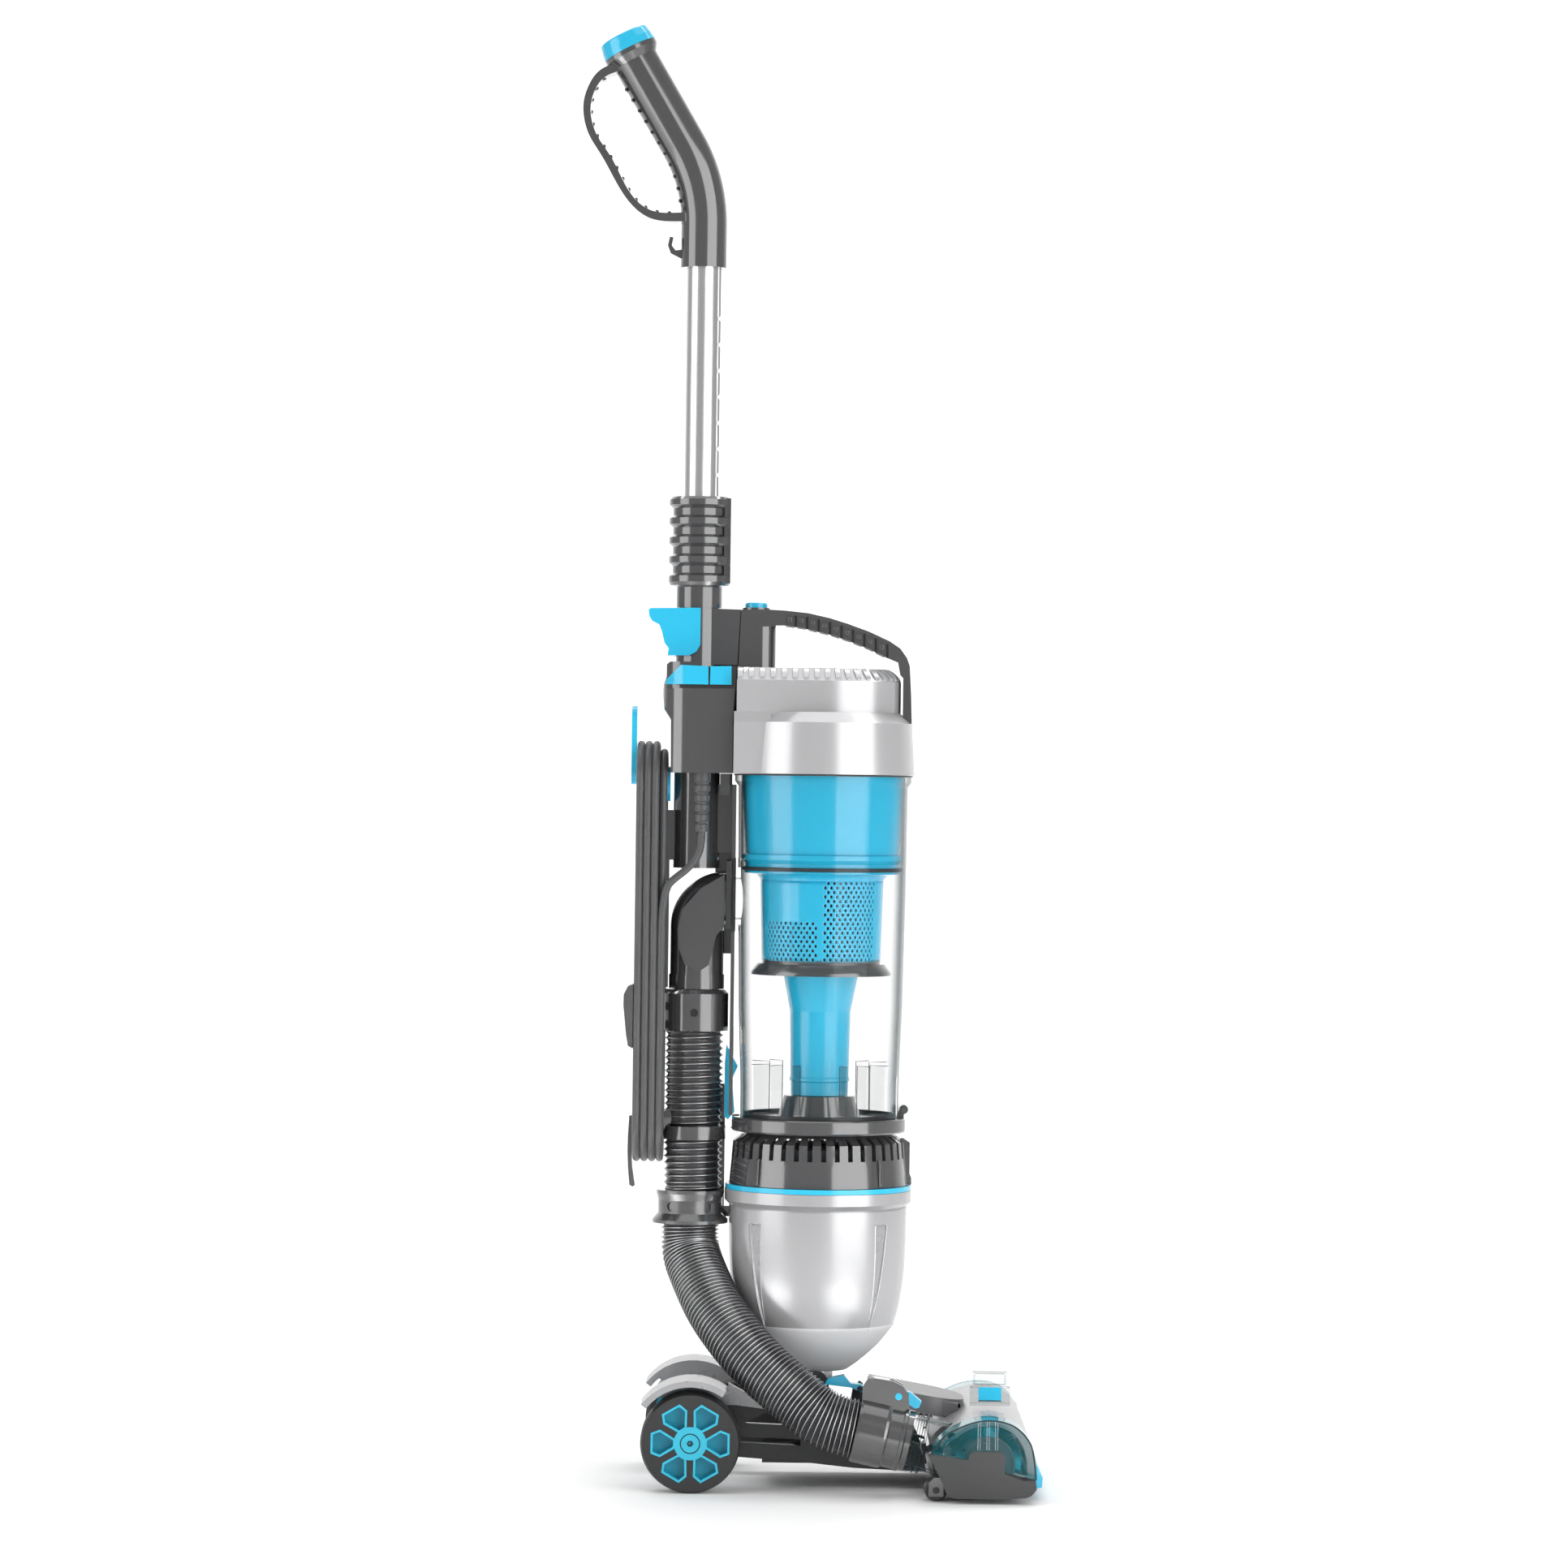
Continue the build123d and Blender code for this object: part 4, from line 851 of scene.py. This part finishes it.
CELL_COUNT = 9
CELL_START = -30.6
CELL_PITCH = 8.75
slot_shades, studs = [], []
for index in range(CELL_COUNT):
    x = CELL_START + CELL_PITCH * index
    low, high = x + 7.2, x + 8.65
    outline = [(low, height_on(HANDLE_UNDER, low) + 0.3),
               (high, height_on(HANDLE_UNDER, high) + 0.3),
               (high, height_on(HANDLE_TOP, high) - 3.1), (low, height_on(HANDLE_TOP, low) - 3.1)]
    middle = (height_on(HANDLE_TOP, x + 3.5) + height_on(HANDLE_UNDER, x + 3.5)) / 2 - 0.6
    square = [(x + 1.9, middle - 1.7), (x + 5.1, middle - 1.7), (x + 5.1, middle + 1.7),
              (x + 1.9, middle + 1.7)]
    for side in (-1, 1):
        slot_shades.append(prism(outline, *sorted((12.2 * side, 14.7 * side))))
        studs.append(prism(square, *sorted((14.4 * side, 15.6 * side))))
# Black fill in the handle's slots: painted shade
piece("handle_slot_shade", *gather(slot_shades), "tyre_rubber", "bin", smooth=False, finish=PAINTED_SHADE_BLACK)
rounded(piece("handle_studs", *gather(studs), "dark_plastic", "bin", smooth=False), 0.4)
rounded(piece("fairing_core", *prism([(44, 74.6), (108, 63.4), (108, 52), (44, 60)], -34.5, 34.5),
              "grey_metallic", "chassis", smooth=False), 0.5)

# Wheel recess floors in a darker teal as painted shade, and black rings of painted shade for the
# cap groove and hexagon socket
WHEEL_X = -93.7
WHEEL_Z = 37.5
HUB_FACE_Y = 92.0
WHEEL_SIDES = 48


def ring_y(r, y, around=WHEEL_SIDES):
    """Circle of points about the wheels' axle line, with the first point again at the end."""
    return [Vector((WHEEL_X + r * math.cos(2 * math.pi * j / around), y,
                    WHEEL_Z + r * math.sin(2 * math.pi * j / around))) for j in range(around + 1)]


for side, name in ((-1, "right"), (1, "left")):
    body = "wheel_" + name
    floor = []
    for r, y in ((9, 80), (30.6, 80), (30.6, 79), (9, 79)):
        floor += [tuple(v) for v in ring_y(r, y * side)[:-1]]
    last = 3 * WHEEL_SIDES
    faces = ring_faces(4, WHEEL_SIDES)
    for j in range(WHEEL_SIDES):
        k = (j + 1) % WHEEL_SIDES
        faces.append((last + j, last + k, k, j))
    piece("hub_floor_" + name, floor, faces, "cyan_plastic", body, smooth=False, finish=HUB_FLOOR_PAINTED_SHADE)
    # Black rings of painted shade for the hub's groove and hexagon socket
    shade_marks = [thread(ring_y(7.2, (HUB_FACE_Y - 0.1) * side), 0.42, 6),
             thread(ring_y(2.0, (HUB_FACE_Y - 0.1) * side, 6), 0.5, 6)]
    soften(piece("hub_shade_marks_" + name, *gather(shade_marks), "tyre_rubber", body, finish=PAINTED_SHADE_BLACK))

# Thin black beads of painted shade along the edges of the clear fins low in the bin
FIN_EDGE = [(44, 281.4), (44, 318), (59.4, 318)]
edges = []
for turn in (30, 50, 70, 110, 130, 150, 210, 230, 250, 290, 310, 330):
    a = math.radians(turn)
    edges.append(thread([Vector((r * math.cos(a), r * math.sin(a), z)) for r, z in FIN_EDGE],
                        0.28, 6))
soften(piece("fin_edge_shade", *gather(edges), "clear_plastic", "bin", finish=PAINTED_SHADE_BLACK))

# Black outline of painted shade round the brush windows, and thin bright steel ribs as painted
# highlights
WINDOW_ARC = [(85.9, 36.9), (94.2, 49.5), (103.6, 55.4), (115.1, 60.2), (126.9, 62.2),
              (138.6, 61.1), (148, 57.2), (156.2, 49.1), (160.4, 39.9), (163, 19)]
WINDOW_INNER = [(95.4, 42), (104.3, 49.6), (115, 55.5), (127, 57.8), (136.6, 57), (146.4, 51.9),
                (153.4, 42), (156.4, 30)]
rim_shades, rib_highlights = [], []
for side in (-1, 1):
    rim_shades.append(thread(passing([(x, 130.4 * side, z) for x, z in WINDOW_ARC]), 0.55))
    rim_shades.append(thread(passing([(x, 129.2 * side, z) for x, z in WINDOW_INNER]), 0.3))
    for x, top in ((120.6, 61.2), (127.2, 61.8), (133.4, 61.4)):
        for half in (-0.9, 0.9):
            line = [Vector((x + half, 130.6 * side, z)) for z in (40.2, 50, top)]
            rib_highlights.append(thread(line, 0.22, 6))
soften(piece("window_outline_shade", *gather(rim_shades), "tyre_rubber", "chassis", finish=PAINTED_SHADE_BLACK))
# Two bright steel threads per rib: painted highlights along the ribs' edges
soften(piece("window_rib_highlights", *gather(rib_highlights), "steel_tube", "chassis"))


# Cross ribs in the clear part of the window latch
LATCH_FOOT = (131, -58, 66.4)
LATCH_LEAN = -24


def leaning(verts, faces):
    """The same faces with the vertices set on the latch's slope."""
    a = math.radians(LATCH_LEAN)
    x0, y0, z0 = LATCH_FOOT
    moved = [(x0 + x, y0 + y * math.cos(a) - z * math.sin(a),
              z0 + y * math.sin(a) + z * math.cos(a)) for x, y, z in verts]
    return moved, faces


bars = []
for z in (15.6, 17.6, 19.6, 21.6):
    bars.append(leaning(*thread([Vector((x, 0, z)) for x in (-12, -4, 4, 12)], 0.7)))
soften(piece("latch_ribs", *gather(bars), "clear_plastic", "latch", finish=WINDOW_TINT))


# Camera, floor and studio light
CAMERA_PLACE = (-0.020, -4.0, 0.5309)
CAMERA_ROLL = -0.75
camera = bpy.data.objects.new("camera", bpy.data.cameras.new("camera"))
camera.location = CAMERA_PLACE
camera.rotation_euler = (math.radians(90), math.radians(CAMERA_ROLL), 0)
camera.data.lens = 120.2
camera.data.sensor_width = 36
bpy.context.collection.objects.link(camera)
bpy.context.scene.camera = camera


def backdrop():
    """Pale floor that curves up into a wall behind."""
    line = [(-6.0, 0.0), (2.2, 0.0)]
    for step in range(1, 13):
        angle = math.radians(90 * step / 12)
        line.append((2.2 + 1.2 * math.sin(angle), 1.2 - 1.2 * math.cos(angle)))
    line.append((3.4, 5.0))
    verts = [(x, y, z) for y, z in line for x in (-6.0, 6.0)]
    faces = [(2 * i, 2 * i + 1, 2 * i + 3, 2 * i + 2) for i in range(len(line) - 1)]
    mesh = bpy.data.meshes.new("backdrop")
    mesh.from_pydata(verts, [], faces)
    mesh.shade_smooth()
    mesh.materials.append(surface("backdrop_white", (0.93, 0.93, 0.93), 0.8, mottle=0.005,
                                  grain=0.0))
    obj = bpy.data.objects.new("backdrop", mesh)
    bpy.context.collection.objects.link(obj)


def softbox(name, place, aim, size, watts, spread=180):
    """Area lamp at a place, facing aim; size in metres and spread in degrees."""
    lamp = bpy.data.lights.new(name, "AREA")
    lamp.shape = "RECTANGLE"
    lamp.size, lamp.size_y = size
    lamp.energy = watts
    lamp.spread = math.radians(spread)
    obj = bpy.data.objects.new(name, lamp)
    obj.location = place
    obj.rotation_euler = (Vector(aim) - Vector(place)).to_track_quat("-Z", "Y").to_euler()
    bpy.context.collection.objects.link(obj)


def round_about(degrees, distance, z):
    """Place in front of the product, by its angle to the right of the camera's line."""
    a = math.radians(degrees)
    return (distance * math.sin(a), -distance * math.cos(a), z)


CARD_DISTANCE = 3.0
CARD_Z = 1.25
CARD_AIM = (0, 0, 1.0)
SPOT_DISTANCE = 0.5
SPOT_Z = 1.3
SPOT_SIZE = (0.22, 0.22)
SPOT_SPREAD = 17
backdrop()
softbox("card_right", round_about(42, CARD_DISTANCE, CARD_Z), CARD_AIM, (2.8, 2.6), 66)
softbox("card_left", round_about(-62, CARD_DISTANCE, CARD_Z), CARD_AIM, (1.9, 2.6), 40)
# Two bright patches on the floor, which the low bowl reflects as upright bands
for name, degrees, watts in (("floor_right", 36, 1.9), ("floor_left", -56, 1.7)):
    softbox(name, round_about(degrees, SPOT_DISTANCE, SPOT_Z),
            round_about(degrees, SPOT_DISTANCE, 0), SPOT_SIZE, watts, SPOT_SPREAD)
softbox("bounce", round_about(42, 0.75, 0.03), (0, 0, 0.14), (0.6, 0.35), 0.7)
softbox("top", (0, 0.2, 3.2), (0, 0, 0), (3.0, 3.0), 30)
softbox("wall_wash", (0, 1.2, 3.6), (0, 3.4, 0.8), (5.0, 0.8), 80)
world = bpy.data.worlds.new("studio")
world.use_nodes = True
sky = world.node_tree.nodes["Background"]
sky.inputs["Color"].default_value = (1, 1, 1, 1)
sky.inputs["Strength"].default_value = 0.42
bpy.context.scene.world = world
bpy.context.scene.view_settings.view_transform = "Standard"
